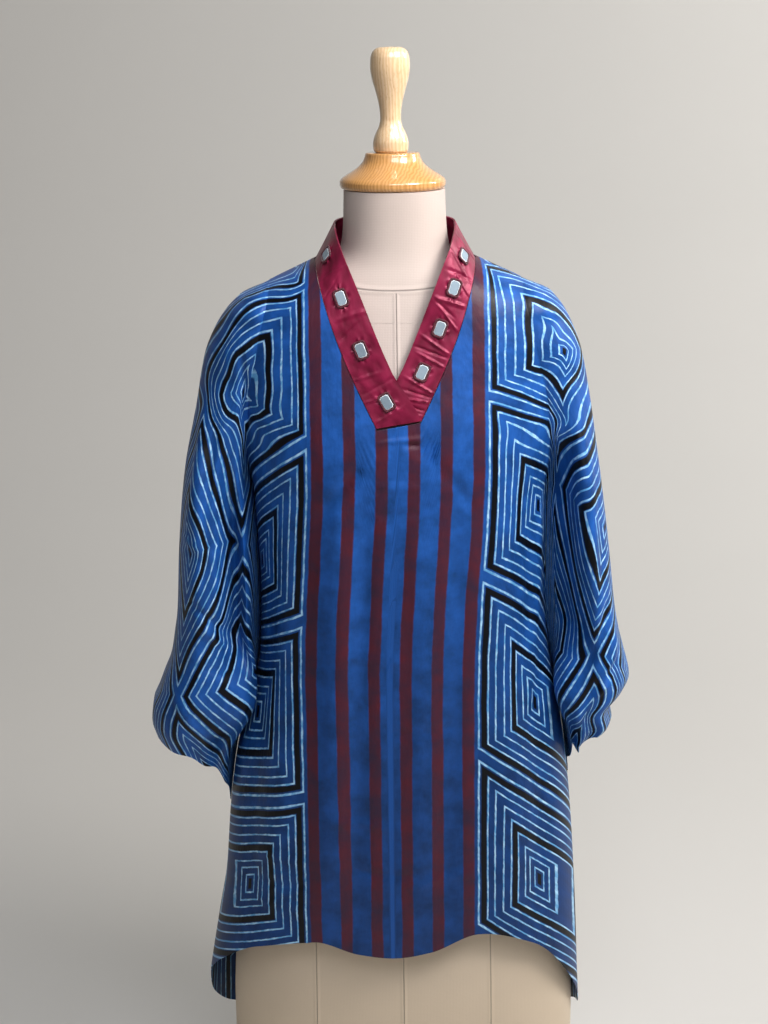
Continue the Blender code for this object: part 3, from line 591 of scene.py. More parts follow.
# The print's place on the cloth. v counts from the top of the first row of blocks. Each row gives
# the level at the striped panel's edge where a gap between blocks lies, which differs by side, as
# the print does. fall is how steeply the rows run down towards the side seam.
BLOCK_ROW = 0.1885
PRINT_LEVELS = {
    -1: table("z row fall", [
        (1.037, 0.108, 0.5), (0.99, 0.355, 0.6), (0.8675, 1.0, 0.62), (0.73, 1.718, 0.58),
        (0.676, 2.0, 0.5), (0.57, 2.543, 0.26), (0.4809, 3.0, 0.28), (0.2985, 4.0, 0.36), (0.09, 5.1, 0.36),
    ]),
    1: table("z row fall", [
        (1.037, 0.336, 0.46), (0.9129, 1.0, 0.44), (0.79, 1.655, 0.43), (0.7252, 2.0, 0.52),
        (0.58, 2.746, 0.7), (0.5306, 3.0, 0.72), (0.3265, 4.0, 0.7), (0.09, 5.15, 0.7),
    ]),
}
# Where corners and middles of blocks lie on each sleeve: the level, how far in from the sleeve's
# seam along the cloth, and their place in the flat cut. The cloth hangs on the bias, so the
# blocks are drawn out downwards into rhombs.
SLEEVE_PRINT = {
    -1: table("z inward u v", [
        (1.019, 0.032, 0.14, 0.002), (1.006, 0.0, 0.168, -0.005), (0.957, 0.024, 0.218, -0.003),
        (0.907, 0.047, 0.268, 0.0), (0.907, 0.0, 0.285, -0.06), (0.912, 0.068, 0.218, 0.053),
        (0.914, 0.1, 0.18, 0.094), (0.746, 0.168, 0.268, 0.189), (0.751, 0.098, 0.32, 0.136),
        (0.745, 0.0775, 0.3585, 0.094), (0.745, 0.0, 0.426, 0.02), (0.625, 0.066, 0.423, 0.162),
        (0.586, 0.081, 0.449, 0.1885), (0.594, 0.127, 0.397, 0.241), (0.565, 0.09, 0.462, 0.202),
        (0.581, 0.03, 0.517, 0.118), (0.466, 0.159, 0.492, 0.29), (0.6, 0.24, 0.33, 0.33),
    ]),
    1: table("z inward u v", [
        (1.019, 0.032, 0.14, 0.034), (1.006, 0.0, 0.168, 0.034), (0.951, 0.066, 0.1775, 0.094),
        (0.904, 0.077, 0.216, 0.136), (0.948, 0.031, 0.212, 0.057), (0.938, 0.01, 0.216, 0.052),
        (0.802, 0.144, 0.268, 0.1885), (0.882, 0.03, 0.255, 0.078), (0.852, 0.03, 0.281, 0.078),
        (0.808, 0.03, 0.32, 0.075), (0.787, 0.095, 0.32, 0.136), (0.761, 0.05, 0.3585, 0.094),
        (0.703, 0.087, 0.397, 0.136), (0.63, 0.103, 0.449, 0.1885), (0.617, 0.12, 0.436, 0.205),
        (0.605, 0.107, 0.462, 0.202), (0.608, 0.063, 0.506, 0.128), (0.745, 0.0, 0.39, 0.045),
        (0.54, 0.157, 0.47, 0.28), (0.6, 0.205, 0.36, 0.31),
    ]),
}
PRINT_STIFFNESS = 0.00002
# Share of a sleeve's columns in which its print turns into the body's, low down and at the top
VALLEY_BLEND = 0.20
SHOULDER_BLEND = 0.75
RUN_STEPS = np.linspace(0, 1, 25)  # short steps in which a length of cloth is added up
# Beside the panel in front: metres of the worn cloth, and metres of the flat cut that they take up
FRONT_REACH = through([-0.2, 0.0, 0.076, 0.10, 0.20], [-0.2, 0.0, 0.085, 0.108, 0.128])


def body_print(points, face):
    """u and v of the body's cloth, in metres of the flat cut."""
    x, z = points[..., 0], points[..., 2]
    drift = panel_drift(z)
    flat = np.zeros(points.shape[:-1] + (2,))
    share = RUN_STEPS if face < 0 else 1 - (1 - RUN_STEPS) ** 2.5
    for side in (-1, 1):
        edge = side * PANEL_HALF + drift
        xs = edge[..., None] + (x - edge)[..., None] * share
        ys = body_y(xs, z[..., None], face)
        run = np.hypot(np.diff(xs, axis=-1), np.diff(ys, axis=-1)).sum(axis=-1)
        run = np.where(side * (x - edge) > 0, run, 0.0)
        levels = tracks(PRINT_LEVELS[side])
        across = FRONT_REACH(run) if face < 0 else run
        u = np.where(run > 0, side * (PANEL_HALF + across), x - drift)
        v = levels["row"](z) * BLOCK_ROW - levels["fall"](z) * run
        own = side * (x - drift) > 0
        flat[own] = np.stack([u, v], axis=-1)[own]
    return flat


def plate(gaps):
    return gaps**2 * np.log(gaps**2 + 1e-12)


def cube(gaps):
    return gaps**3


def spread(known, wanted, at, kernel, stiffness):
    """Values wanted at known places, spread smoothly to others by a spline."""
    count, slopes = known.shape
    gaps = np.linalg.norm(known[:, None] - known[None], axis=-1)
    system = np.zeros((count + slopes + 1,) * 2)
    system[:count, :count] = kernel(gaps) + stiffness * np.eye(count)
    system[:count, count:] = np.column_stack([np.ones(count), known])
    system[count:, :count] = system[:count, count:].T
    weights = np.linalg.solve(system, np.concatenate([wanted, np.zeros((slopes + 1, 2))]))
    gaps = np.linalg.norm(at[:, None] - known[None], axis=-1)
    return kernel(gaps) @ weights[:count] + np.column_stack([np.ones(len(at)), at]) @ weights[count:]


def sleeve_print(points, columns, side, at_body):
    """u and v of a sleeve's cloth; at_body is the body's print along the column they share."""
    known = np.array(SLEEVE_PRINT[side])
    inward = np.zeros(points.shape[:2])
    steps = np.linalg.norm(np.diff(points, axis=1), axis=-1)
    inward[:, :-1] = np.cumsum(steps[:, ::-1], axis=1)[:, ::-1]
    at = np.stack([points[..., 2], inward], axis=-1).reshape(-1, 2)
    flat = spread(known[:, :2], known[:, 2:], at, plate, PRINT_STIFFNESS)
    flat = flat.reshape(points.shape[:2] + (2,)) * (side, 1)
    shift = at_body - flat[: len(at_body), 0]
    shift = np.concatenate([shift, np.repeat(shift[-1:], len(flat) - len(shift), axis=0)])
    reach = VALLEY_BLEND + (SHOULDER_BLEND - VALLEY_BLEND) * ease(points[:, 0, 2], 0.86, 0.95)
    near = 1 - ease(columns[None, :] / reach[:, None])
    return flat + shift[:, None, :] * near[..., None]


# The same between the panel and the sleeve's top, where the shoulder turns away: the pixel of the
# photograph, from its top left, where a corner or a side of a block shows, and its place in the
# flat cut in millimetres. The back's shoulders are printed alike.
PICTURE_WIDTH, PICTURE_HEIGHT = 768, 1024
CAMERA_AT = (-0.015, -1.90, 1.275)
CAMERA_PITCH = math.radians(15.0)
CAMERA_ROLL = math.radians(-0.75)
LENS_PIXELS = 1815  # the lens, as long as this many pixels of the photograph
SEEN_NEAR = 4.0  # pixels round a seen place in which points of the cloth are weighed
SAME_LAYER = 0.015
SHOULDER_PRINT = {
    -1: table("px py u v", [
        (307.8, 286.0, 93.3, 6.85), (300.2, 297.5, 104.5, 18.05), (291.0, 308.2, 113.4, 26.95),
        (281.3, 318.1, 124, 37.55), (272.3, 330.4, 133.7, 47.25), (264.2, 341.8, 143.5, 57.05),
        (255.8, 354.9, 154.1, 67.65), (247.4, 367.9, 161.9, 75.45), (243.5, 393.9, 177.5, 94.25),
        (248.4, 400.8, 161.9, 113.05), (247.8, 383.2, 161.9, 93.5), (256.8, 390.8, 154.1, 103),
        (235.9, 393.9, 193.1, 75.45), (257.3, 405.4, 154.1, 120.85), (264.2, 407.7, 143.5, 131.45),
        (271.8, 413.8, 133.7, 141.25), (281.8, 419.1, 124, 150.95), (292.5, 423.7, 113.4, 161.55),
        (301.7, 428.3, 104.5, 170.45), (310.1, 433.7, 93.3, 181.65), (309.3, 276.8, 93.3, -6.85),
        (301.7, 279.1, 104.5, -18.05), (310.1, 372.5, 93.3, 109.2), (302.0, 372.5, 104.5, 105.4),
        (293.0, 372.5, 113.4, 101.8), (281.8, 372.5, 124, 98.5), (272.3, 372.5, 133.7, 94.7),
        (264.5, 372.5, 143.5, 91.7), (255.8, 372.5, 154.1, 86.2), (309.3, 326.5, 93.3, 54.8),
        (301.4, 329.6, 104.5, 55.5), (291.7, 335.7, 113.4, 59), (281.6, 341.8, 124, 64.2),
        (310.4, 406.1, 93.3, 149), (302.0, 403.1, 104.5, 141), (293.0, 400.0, 113.4, 133.8),
        (281.8, 396.9, 124, 126), (272.1, 393.9, 133.7, 118.8), (241.5, 308.9, 166, 6.85),
        (242.8, 317.4, 168, 18.05), (242.5, 325.3, 169, 26.95), (242.5, 333.4, 170, 37.55),
        (243.1, 343.7, 171, 47.25), (243.7, 354.1, 172, 57.05), (245.1, 362.5, 173, 67.65),
        (223.6, 393.9, 211.5, 57.05), (231.3, 393.1, 200.9, 67.65), (214.4, 393.1, 231, 37.55),
        (205.6, 400.8, 268, 0), (201.7, 393.9, 274.3, -6.85), (225.9, 341.8, 200, 18.05),
        (230.5, 348.0, 196, 37.55), (214.4, 334.2, 205, -10), (230.5, 377.0, 203, 57.05),
        (233.9, 414.5, 211.5, 95.5), (243.5, 434.1, 211.5, 131.45), (243.5, 419.3, 200.9, 120.85),
        (243.5, 409.3, 193.1, 113.05), (265.7, 424.5, 150, 150.95), (251.9, 433.7, 180, 150.95),
        (278.0, 433.7, 135, 170.45), (261.9, 439.5, 165, 170.45), (256.5, 420.7, 160, 141.25),
        (247.4, 430.6, 195, 141.25), (253.5, 415.3, 168, 131.45), (245.8, 426.0, 195, 131.45),
        (246.4, 411.3, 178, 120.85), (297.1, 276.0, 113.4, -26.9), (292.5, 273.0, 124, -37.6),
        (271.8, 290.1, 130, -6.85), (241.5, 301.3, 165, -6.85), (271.8, 286.0, 130, -18.05),
        (242.0, 295.9, 165, -18.05), (271.8, 279.4, 132, -37.6), (245.8, 288.6, 165, -37.6),
    ]),
    1: table("px py u v", [
        (478.8, 263.9, 93.3, 6.85), (484.5, 268.0, 104.5, 18.05), (497.6, 276.9, 113.4, 26.95),
        (509.8, 284.3, 124, 37.55), (521.2, 293.3, 133.7, 47.25), (532.7, 303.1, 143.5, 57.05),
        (542.4, 316.1, 154.1, 67.65), (552.2, 326.7, 161.9, 75.45), (559.1, 344.7, 170.5, 84),
        (564.5, 351.2, 177.5, 94.25), (551.4, 356.1, 161.9, 113.05), (542.4, 361.0, 154.1, 120.85),
        (533.0, 365.1, 143.5, 131.45), (524.5, 370.8, 133.7, 141.25), (514.7, 374.9, 124, 150.95),
        (504.9, 380.6, 113.4, 161.55), (495.6, 384.7, 104.5, 170.45), (486.9, 389.6, 93.3, 181.65),
        (485.8, 341.4, 93.3, 114.7), (495.1, 341.4, 104.5, 114), (505.4, 341.4, 113.4, 110.7),
        (515.0, 341.4, 124, 109.1), (524.8, 341.4, 133.7, 105.6), (533.3, 341.4, 143.5, 103.1),
        (542.1, 341.4, 154.1, 97.6), (486.9, 299.0, 93.3, 55.6), (494.8, 299.0, 104.5, 58.5),
        (504.9, 302.2, 113.4, 59.8), (513.4, 305.5, 124, 64.1), (523.3, 318.6, 133.7, 77.9),
        (532.3, 321.8, 143.5, 79.6), (485.3, 364.3, 93.3, 146.4), (495.1, 364.3, 104.5, 143.8),
        (505.1, 364.3, 113.4, 140.4), (515.0, 361.0, 124, 133.6), (525.0, 359.4, 133.7, 127.4),
        (563.2, 388.8, 211.5, 131.45), (563.2, 395.3, 216.1, 136), (562.5, 407.6, 222, 143),
        (580.8, 348.8, 211.5, 57.05), (576.2, 349.9, 200.9, 67.65), (572.7, 349.9, 193.1, 75.45),
        (568.4, 350.6, 184.5, 84), (552.4, 311.2, 175, 57.05), (552.4, 306.3, 175, 52.5),
        (552.4, 299.0, 174, 37.55), (551.8, 292.8, 173, 24), (564.5, 321.8, 190, 57.05),
        (574.3, 315.3, 196, 40), (558.0, 392.0, 205, 140), (574.3, 334.9, 205, 57.05),
        (587.3, 364.3, 230, 65), (486.9, 401.8, 93.3, 195.35),
    ]),
}
SHOULDER_STIFFNESS = 1e-7
SHOULDER_PRINT_Z = (0.852, 0.885)  # it turns into the print below between these levels
JOIN_BELOW = 0.002  # middle of a 4 mm band under them, where every ninth point holds the print below
JOIN_EVERY = 9
INNER_BLEND = 0.03  # the panel's stripes follow the print beside them within this of its edge
shoulder_spots = {}  # points of the front at the seen places, for each side


def points_seen(points, places):
    """For each place in the photograph, the point of the cloth that the camera sees there."""
    turn = Matrix.Rotation(math.pi / 2 - CAMERA_PITCH, 3, "X") @ Matrix.Rotation(CAMERA_ROLL, 3, "Z")
    across, up, back = ((points - np.array(CAMERA_AT)) @ np.array(turn)).T
    px = PICTURE_WIDTH / 2 - LENS_PIXELS * across / back
    py = PICTURE_HEIGHT / 2 + LENS_PIXELS * up / back
    found = []
    for place in places:
        off = (px - place.px) ** 2 + (py - place.py) ** 2
        near = np.flatnonzero(off < max(SEEN_NEAR**2, off.min() + 6))
        near = near[-back[near] < -back[near].max() + SAME_LAYER]
        weight = 1 / (off[near] + 0.15) ** 2
        found.append(weight @ points[near] / weight.sum())
    return np.array(found)


def shoulder_print(points, flat, face):
    """The print with its shoulders bent to their known places."""
    low, high = SHOULDER_PRINT_Z
    if face < 0:
        shoulder_spots.update({side: points_seen(points, SHOULDER_PRINT[side]) for side in (-1, 1)})
    points = np.column_stack([points[:, 0], -np.abs(points[:, 1]), points[:, 2]])
    for side in (-1, 1):
        x, z = side * points[:, 0], points[:, 2]
        join = (x > PANEL_HALF) & (np.abs(z - low + JOIN_BELOW) < JOIN_BELOW)
        join = np.flatnonzero(join)[::JOIN_EVERY]
        wanted = np.array([(side * place.u / 1000, place.v / 1000) for place in SHOULDER_PRINT[side]])
        wanted = np.concatenate([wanted, flat[join]])
        known = np.concatenate([shoulder_spots[side], points[join]])
        own = np.flatnonzero((x > PANEL_HALF - INNER_BLEND) & (z > low))
        bent = spread(known, wanted, points[own], cube, SHOULDER_STIFFNESS)
        u_share = ease(x[own], PANEL_HALF, PANEL_HALF + 0.02)
        v_share = ease(x[own], PANEL_HALF - INNER_BLEND, PANEL_HALF - 0.002)
        share = np.column_stack([u_share, v_share]) * ease(z[own], low, high)[:, None]
        flat[own] += (bent - flat[own]) * share
    return flat


def grid_quads(index, flip):
    a, b = index[:-1, :-1].ravel(), index[:-1, 1:].ravel()
    c, d = index[1:, 1:].ravel(), index[1:, :-1].ravel()
    return np.stack([d, c, b, a] if flip else [a, b, c, d], axis=1)


def garment_half(face, fold_tables, columns):
    """Points, faces and print of the front or back, as one open sheet."""
    fine = np.arange((len(columns) - 1) * SPLITS + 1) / SPLITS
    tops, reaches = (np.interp(fine, np.arange(len(columns)), values) for values in zip(*columns))
    rows = np.arange(BODY_ROW_COUNT * SPLITS + 1) / SPLITS
    rows = np.sort(np.concatenate([rows, rows[-1] - np.array(HEM_ROWS)]))
    across = [(-1, t, r) for t, r in zip(tops[:0:-1], reaches[:0:-1])]
    across += [(1, t, r) for t, r in zip(tops, reaches)]
    lines = [body_line(side, t, r, body_levels(side, t, r, rows, face), face) for side, t, r in across]
    body = np.stack(lines, axis=1)
    flat_body = body_print(body, face)
    points, flats = [body.reshape(-1, 3)], [flat_body.reshape(-1, 2)]
    index = np.arange(body.shape[0] * body.shape[1]).reshape(body.shape[:2])
    quads = [grid_quads(index, flip=face < 0)]
    total = index.size
    shared = int(np.searchsorted(rows, UNDERARM_ROW)) + 1  # rows in which a sleeve joins the body
    own_rows = np.arange(1, (SLEEVE_ROW_COUNT - UNDERARM_ROW) * SPLITS + 1) / SPLITS
    sleeve_rows = np.concatenate([rows[:shared], UNDERARM_ROW + own_rows])
    steps = np.linspace(0, 1, SLEEVE_COLUMN_COUNT + 1)
    for side in (-1, 1):
        folds = tracks(fold_tables[side])
        grid = np.stack([sleeve_line(side, sleeve_rows, c, face, folds) for c in steps], axis=1)
        edge = 0 if side < 0 else -1
        grid[:shared, 0] = body[:shared, edge]
        flat = sleeve_print(grid, steps, side, flat_body[:shared, edge])
        own = np.arange(total, total + flat.size // 2).reshape(grid.shape[:2])
        own[:shared, 0] = index[:shared, edge]
        points.append(grid.reshape(-1, 3))
        flats.append(flat.reshape(-1, 2))
        quads.append(grid_quads(own, flip=(side > 0) == (face < 0)))
        total += own.size
    points, flats = np.concatenate(points), np.concatenate(flats)
    return points, np.concatenate(quads), shoulder_print(points, flats, face)


# Soft ridges and troughs of the worn cloth: a line from one point to another, seen from the
# front, bowed sideways, with its half width and how far it stands out of the cloth.
CREASES = {
    -1: table("x z to_x to_z width lift bow", [
        (-0.062, 0.85, -0.088, 0.33, 0.02, 0.0034, 0.006),
        (-0.03, 0.83, -0.048, 0.315, 0.016, -0.003, -0.005), (0.018, 0.84, 0.008, 0.3, 0.019, 0.003, 0.006),
        (0.06, 0.85, 0.046, 0.335, 0.016, -0.0032, 0.004), (0.104, 0.88, 0.122, 0.3, 0.019, 0.0036, -0.006),
        (0.132, 0.82, 0.152, 0.31, 0.013, -0.003, 0.004),
        (-0.112, 0.86, -0.142, 0.33, 0.016, 0.0032, 0.006),
        (-0.134, 0.72, -0.172, 0.32, 0.013, -0.0034, -0.004),
        (0.012, 0.868, 0.08, 0.79, 0.007, -0.002, 0.006),
        (-0.018, 0.862, -0.084, 0.78, 0.008, -0.0022, -0.006),
        (0.006, 0.866, 0.044, 0.861, 0.0035, -0.0026, 0.002),
        (-0.022, 0.868, 0.03, 0.872, 0.003, 0.0012, 0.001),
        (-0.076, 0.823, 0.072, 0.815, 0.005, 0.0011, 0.004),
        (-0.05, 0.797, 0.04, 0.8, 0.0045, -0.0011, -0.004), (0.02, 0.776, 0.085, 0.77, 0.005, 0.001, 0.003),
        (-0.08, 0.64, 0.01, 0.633, 0.0055, 0.001, 0.004),
        (-0.02, 0.56, 0.07, 0.566, 0.0055, -0.001, -0.005),
        (-0.085, 0.455, -0.005, 0.447, 0.005, 0.0011, 0.004),
        (-0.06, 0.402, 0.02, 0.396, 0.0045, -0.0012, -0.003),
        (0.01, 0.382, 0.08, 0.394, 0.005, 0.0012, 0.003),
        (-0.176, 0.408, -0.104, 0.402, 0.0055, 0.0014, 0.003),
        (-0.168, 0.378, -0.1, 0.38, 0.005, -0.0014, -0.003),
        (-0.172, 0.352, -0.106, 0.346, 0.005, 0.0014, 0.003),
        (0.15, 0.8, 0.136, 0.56, 0.007, 0.0042, 0.003),
        (-0.222, 0.692, -0.176, 0.64, 0.005, -0.0034, 0.004),
        (-0.216, 0.668, -0.172, 0.618, 0.005, 0.003, 0.004),
        (-0.222, 0.622, -0.178, 0.604, 0.0045, -0.0026, 0.003),
        (-0.232, 0.76, -0.19, 0.735, 0.006, 0.002, 0.003),
        (-0.24, 0.585, -0.196, 0.53, 0.008, 0.0036, -0.004),
        (-0.226, 0.575, -0.188, 0.52, 0.007, -0.0034, -0.004),
        (-0.2, 0.9, -0.222, 0.76, 0.008, 0.0032, 0.003), (-0.186, 0.89, -0.205, 0.7, 0.008, -0.003, -0.004),
        (-0.16, 0.96, -0.159, 0.87, 0.005, -0.003, 0.002), (0.19, 0.9, 0.2, 0.7, 0.009, 0.003, -0.004),
        (0.206, 0.86, 0.216, 0.69, 0.008, -0.0028, 0.004),
        (0.222, 0.69, 0.196, 0.61, 0.007, -0.0032, 0.004),
        (0.232, 0.655, 0.208, 0.585, 0.007, 0.0034, 0.004),
        (0.236, 0.622, 0.19, 0.56, 0.0055, -0.0036, -0.005),
        (0.226, 0.6, 0.186, 0.548, 0.005, 0.0034, -0.005),
    ]),
    1: table("x z to_x to_z width lift bow", [
        (-0.07, 0.9, -0.098, 0.14, 0.02, 0.0038, -0.008),
        (-0.036, 0.86, -0.046, 0.13, 0.017, -0.0034, 0.006),
        (0.01, 0.93, -0.004, 0.13, 0.02, 0.0032, -0.007), (0.052, 0.87, 0.044, 0.13, 0.017, -0.0036, 0.006),
        (0.098, 0.91, 0.104, 0.14, 0.02, 0.0038, 0.008), (0.136, 0.82, 0.15, 0.18, 0.015, -0.0032, -0.005),
        (-0.128, 0.84, -0.16, 0.2, 0.015, -0.0032, 0.005), (-0.06, 0.96, 0.04, 0.948, 0.008, 0.002, 0.006),
        (-0.11, 0.64, -0.02, 0.628, 0.006, 0.0016, 0.005), (0.02, 0.6, 0.11, 0.612, 0.006, -0.0016, -0.005),
        (-0.09, 0.33, 0.0, 0.322, 0.0055, 0.0015, 0.004), (-0.2, 0.9, -0.222, 0.74, 0.009, 0.0032, 0.003),
        (-0.184, 0.86, -0.2, 0.66, 0.008, -0.003, -0.004), (-0.23, 0.7, -0.184, 0.65, 0.006, -0.003, 0.004),
        (-0.244, 0.6, -0.196, 0.54, 0.008, 0.0034, -0.004), (0.192, 0.9, 0.204, 0.7, 0.009, 0.003, -0.004),
        (0.21, 0.84, 0.214, 0.68, 0.008, -0.003, 0.004), (0.228, 0.66, 0.196, 0.59, 0.007, 0.0032, 0.004),
        (0.222, 0.62, 0.186, 0.56, 0.0055, -0.0032, -0.005),
    ]),
}
CREASE_FACES = (0.10, 0.55)  # how squarely cloth faces front or back where it begins to be creased
CREASE_STARTS = (-0.05, 0.22)  # shares of its length
CREASE_ENDS = (0.80, 1.06)


def sheet_normals(points, quads):
    across = points[quads[:, 2]] - points[quads[:, 0]]
    down = points[quads[:, 3]] - points[quads[:, 1]]
    faces = np.cross(across, down)
    normals = np.zeros_like(points)
    for corner in range(4):
        np.add.at(normals, quads[:, corner], faces)
    length = np.linalg.norm(normals, axis=1, keepdims=True)
    return normals / np.maximum(length, 1e-12)


def ridge(off, width, trough):
    """Height across a fold: a rounded ridge with a shallow trough on both its sides."""
    return (1 - trough * (off / width) ** 2) * np.exp(-((off / width) ** 2))


def creased(points, quads, face):
    """Move the cloth along its own normals by every crease of this face."""
    normals = sheet_normals(points, quads)
    facing = ease(np.abs(normals[:, 1]), *CREASE_FACES)
    lift = np.zeros(len(points))
    for crease in CREASES[face]:
        start = np.array((crease.x, crease.z))
        line = np.array((crease.to_x, crease.to_z)) - start
        length = np.linalg.norm(line)
        along = line / length
        offset = points[:, [0, 2]] - start
        share = offset @ along / length
        on_line = np.clip(share, 0, 1)
        off = offset @ np.array((-along[1], along[0])) - crease.bow * np.sin(math.pi * on_line)
        ends = ease(share, *CREASE_STARTS) * (1 - ease(share, *CREASE_ENDS))
        lift += crease.lift * ridge(off, crease.width * (0.75 + 0.5 * on_line), 0.6) * ends
    return points + normals * (lift * facing)[:, None]


def cloth_piece(name, points, quads, flat, thickness, finish):
    """Closed thin shell from an open sheet, with the print's place kept on it."""
    used = np.unique(quads)
    renumber = np.full(len(points), -1)
    renumber[used] = np.arange(len(used))
    points, flat, quads = points[used], flat[used], renumber[quads]
    count = len(points)
    edges = np.concatenate([quads[:, [k, (k + 1) % 4]] for k in range(4)])
    _, first, times = np.unique(np.sort(edges, axis=1), axis=0, return_index=True, return_counts=True)
    rim = edges[first[times == 1]]
    walls = np.stack([rim[:, 1], rim[:, 0], rim[:, 0] + count, rim[:, 1] + count], axis=1)
    both_sides = np.concatenate([points, points - sheet_normals(points, quads) * thickness])
    piece = piece_from(name, both_sides, np.concatenate([quads, quads[:, ::-1] + count, walls]), finish)
    keep(piece, "print_place", np.pad(np.concatenate([flat, flat]), ((0, 0), (0, 1))))
    return piece


# Viscose satin, printed by block and wax: threads too fine to see, soft long highlights, lines a
# little uneven where the wax ran, and the dye darker where it pooled. Threads are 0.25 mm apart,
# drawn 1.4 mm apart so that they show.
VISCOSE_THREAD = 0.0014
BLOCK_COLUMN = 0.181
BLOCK_HALF_WIDTH = 0.085
BLOCK_HALF_HEIGHT = 0.0882
STRIPE_PITCH = 0.033
STRIPE_HALF = 0.0062
STRIPE_SOFT = 0.0009
WAX_LINES = [0.8, 12.0, 20.9, 31.5, 41.2, 51.0, 61.6, 69.4, 78.0]  # mm in from a block's edge
WAX_HALF = 1.65
OUTER_WAX_HALF = 2.2
BLACK_BANDS = [(4.0, 10.2), (43.2, 49.6), (82.2, 99.0)]
RAMP_FROM = -10.0
RAMP_TO = 100.0

printed = surface("printed_viscose", 0.44, ior=1.45)
add = partial(node, printed)
place = add("Attribute", give="Vector", attribute_name="print_place")
moved = place
# Lines wander slowly by up to 1.4 mm, and their edges are ragged by up to 0.55 mm
for scale, detail, reach in ((22.0, 1.5, 0.0028), (190.0, 2.0, 0.0011)):
    shift = add("TexNoise", {"Vector": place, "Scale": scale, "Detail": detail}, give="Color")
    shift = add("VectorMath", (shift, (0.5, 0.5, 0.5)), operation="SUBTRACT")
    shift = add("VectorMath", {0: shift, "Scale": reach}, operation="SCALE")
    moved = add("VectorMath", (moved, shift))
across, down = (add("SeparateXYZ", (moved,), give=axis) for axis in "XY")
out = add("Math", (across,), operation="ABSOLUTE")

# How far in from the edge of its block a point is, in millimetres
beside = add("Math", (out, PANEL_HALF + BLOCK_HALF_WIDTH), operation="SUBTRACT")
beside = add("Math", (beside, -BLOCK_COLUMN / 2, BLOCK_COLUMN / 2), operation="WRAP")
beside = add("Math", (beside,), operation="ABSOLUTE")
inside_x = add("Math", (BLOCK_HALF_WIDTH, beside), operation="SUBTRACT")
above = add("Math", (down, 0.0, BLOCK_ROW), operation="WRAP")
above = add("Math", (above, BLOCK_ROW / 2), operation="SUBTRACT")
above = add("Math", (above,), operation="ABSOLUTE")
inside_y = add("Math", (BLOCK_HALF_HEIGHT, above), operation="SUBTRACT")
inside = add("Math", (inside_x, inside_y), operation="MINIMUM")
inside = add("Math", (inside, 1000.0), operation="MULTIPLY")
on_ramp = add("MapRange", (inside, RAMP_FROM, RAMP_TO))

black, white = (0, 0, 0, 1), (1, 1, 1, 1)
peaks, bands = [], []
for mm in WAX_LINES:
    half = OUTER_WAX_HALF if mm == WAX_LINES[0] else WAX_HALF
    peaks += [(mm - half, black), (mm, white), (mm + half, black)]
for start, end in BLACK_BANDS:
    bands += [(start - 0.5, black), (start + 0.3, white), (end - 0.3, white), (end + 0.5, black)]
peaks, bands = (
    [((mm - RAMP_FROM) / (RAMP_TO - RAMP_FROM), tone) for mm, tone in stops] for stops in (peaks, bands)
)
wax = add("ValToRGB", (on_ramp,), stops=peaks)
wax_width = add("TexNoise", {"Vector": place, "Scale": 75.0, "Detail": 1.0})
wax_width = add("MapRange", (wax_width, 0.3, 0.7, 0.36, 0.18))
wax_edge = add("Math", (wax_width, 0.35))
wax = add("MapRange", (wax, wax_width, wax_edge), interpolation_type="SMOOTHSTEP")
band = add("ValToRGB", (on_ramp,), stops=bands)

pooled = add("TexNoise", {"Vector": place, "Scale": 34.0, "Detail": 4.0, "Roughness": 0.6})
pooled = add("MapRange", (pooled, 0.3, 0.72))
blue = add("Mix", {0: pooled, 6: linear("#103a74"), 7: linear("#1d5cb2")}, give=2, data_type="RGBA")
clean = add("TexNoise", {"Vector": place, "Scale": 120.0, "Detail": 2.0})
clean = add("MapRange", (clean, 0.38, 0.68))
pale = add("Mix", {0: clean, 6: linear("#5c9dd2"), 7: linear("#b0daf6")}, give=2, data_type="RGBA")
# Painted shade: the blue of the blocks and of the panel's ground darkens down the cloth, to about half by
# the hips, for the light that falls off lower down
painted_shade_low_down = add("MapRange", (down, 0.20, 0.66, 1.0, 0.52), interpolation_type="SMOOTHSTEP")
blue = add("VectorMath", {0: blue, "Scale": painted_shade_low_down}, operation="SCALE")
blocks = add("Mix", {0: band, 6: blue, 7: linear("#04050b")}, give=2, data_type="RGBA")
blocks = add("Mix", {0: wax, 6: blocks, 7: pale}, give=2, data_type="RGBA")

# The panel's stripes: maroon dye over blue, with a soft edge
stripe = add("Math", (across, STRIPE_PITCH / 2))
stripe = add("Math", (stripe, -STRIPE_PITCH / 2, STRIPE_PITCH / 2), operation="WRAP")
stripe = add("Math", (stripe,), operation="ABSOLUTE")
edges = (STRIPE_HALF + STRIPE_SOFT, STRIPE_HALF - STRIPE_SOFT)
stripe = add("MapRange", (stripe, *edges), interpolation_type="SMOOTHSTEP")
maroon = add("Mix", {0: pooled, 6: linear("#35243a"), 7: linear("#561e2c")}, give=2, data_type="RGBA")
ground = add("Mix", {0: pooled, 6: linear("#15427f"), 7: linear("#2261bb")}, give=2, data_type="RGBA")
ground = add("VectorMath", {0: ground, "Scale": painted_shade_low_down}, operation="SCALE")
panel = add("Mix", {0: stripe, 6: ground, 7: maroon}, give=2, data_type="RGBA")
in_panel = add("MapRange", (out, PANEL_HALF + 0.0003, PANEL_HALF - 0.0006))
colour = add("Mix", {0: in_panel, 6: blocks, 7: panel}, give=2, data_type="RGBA")

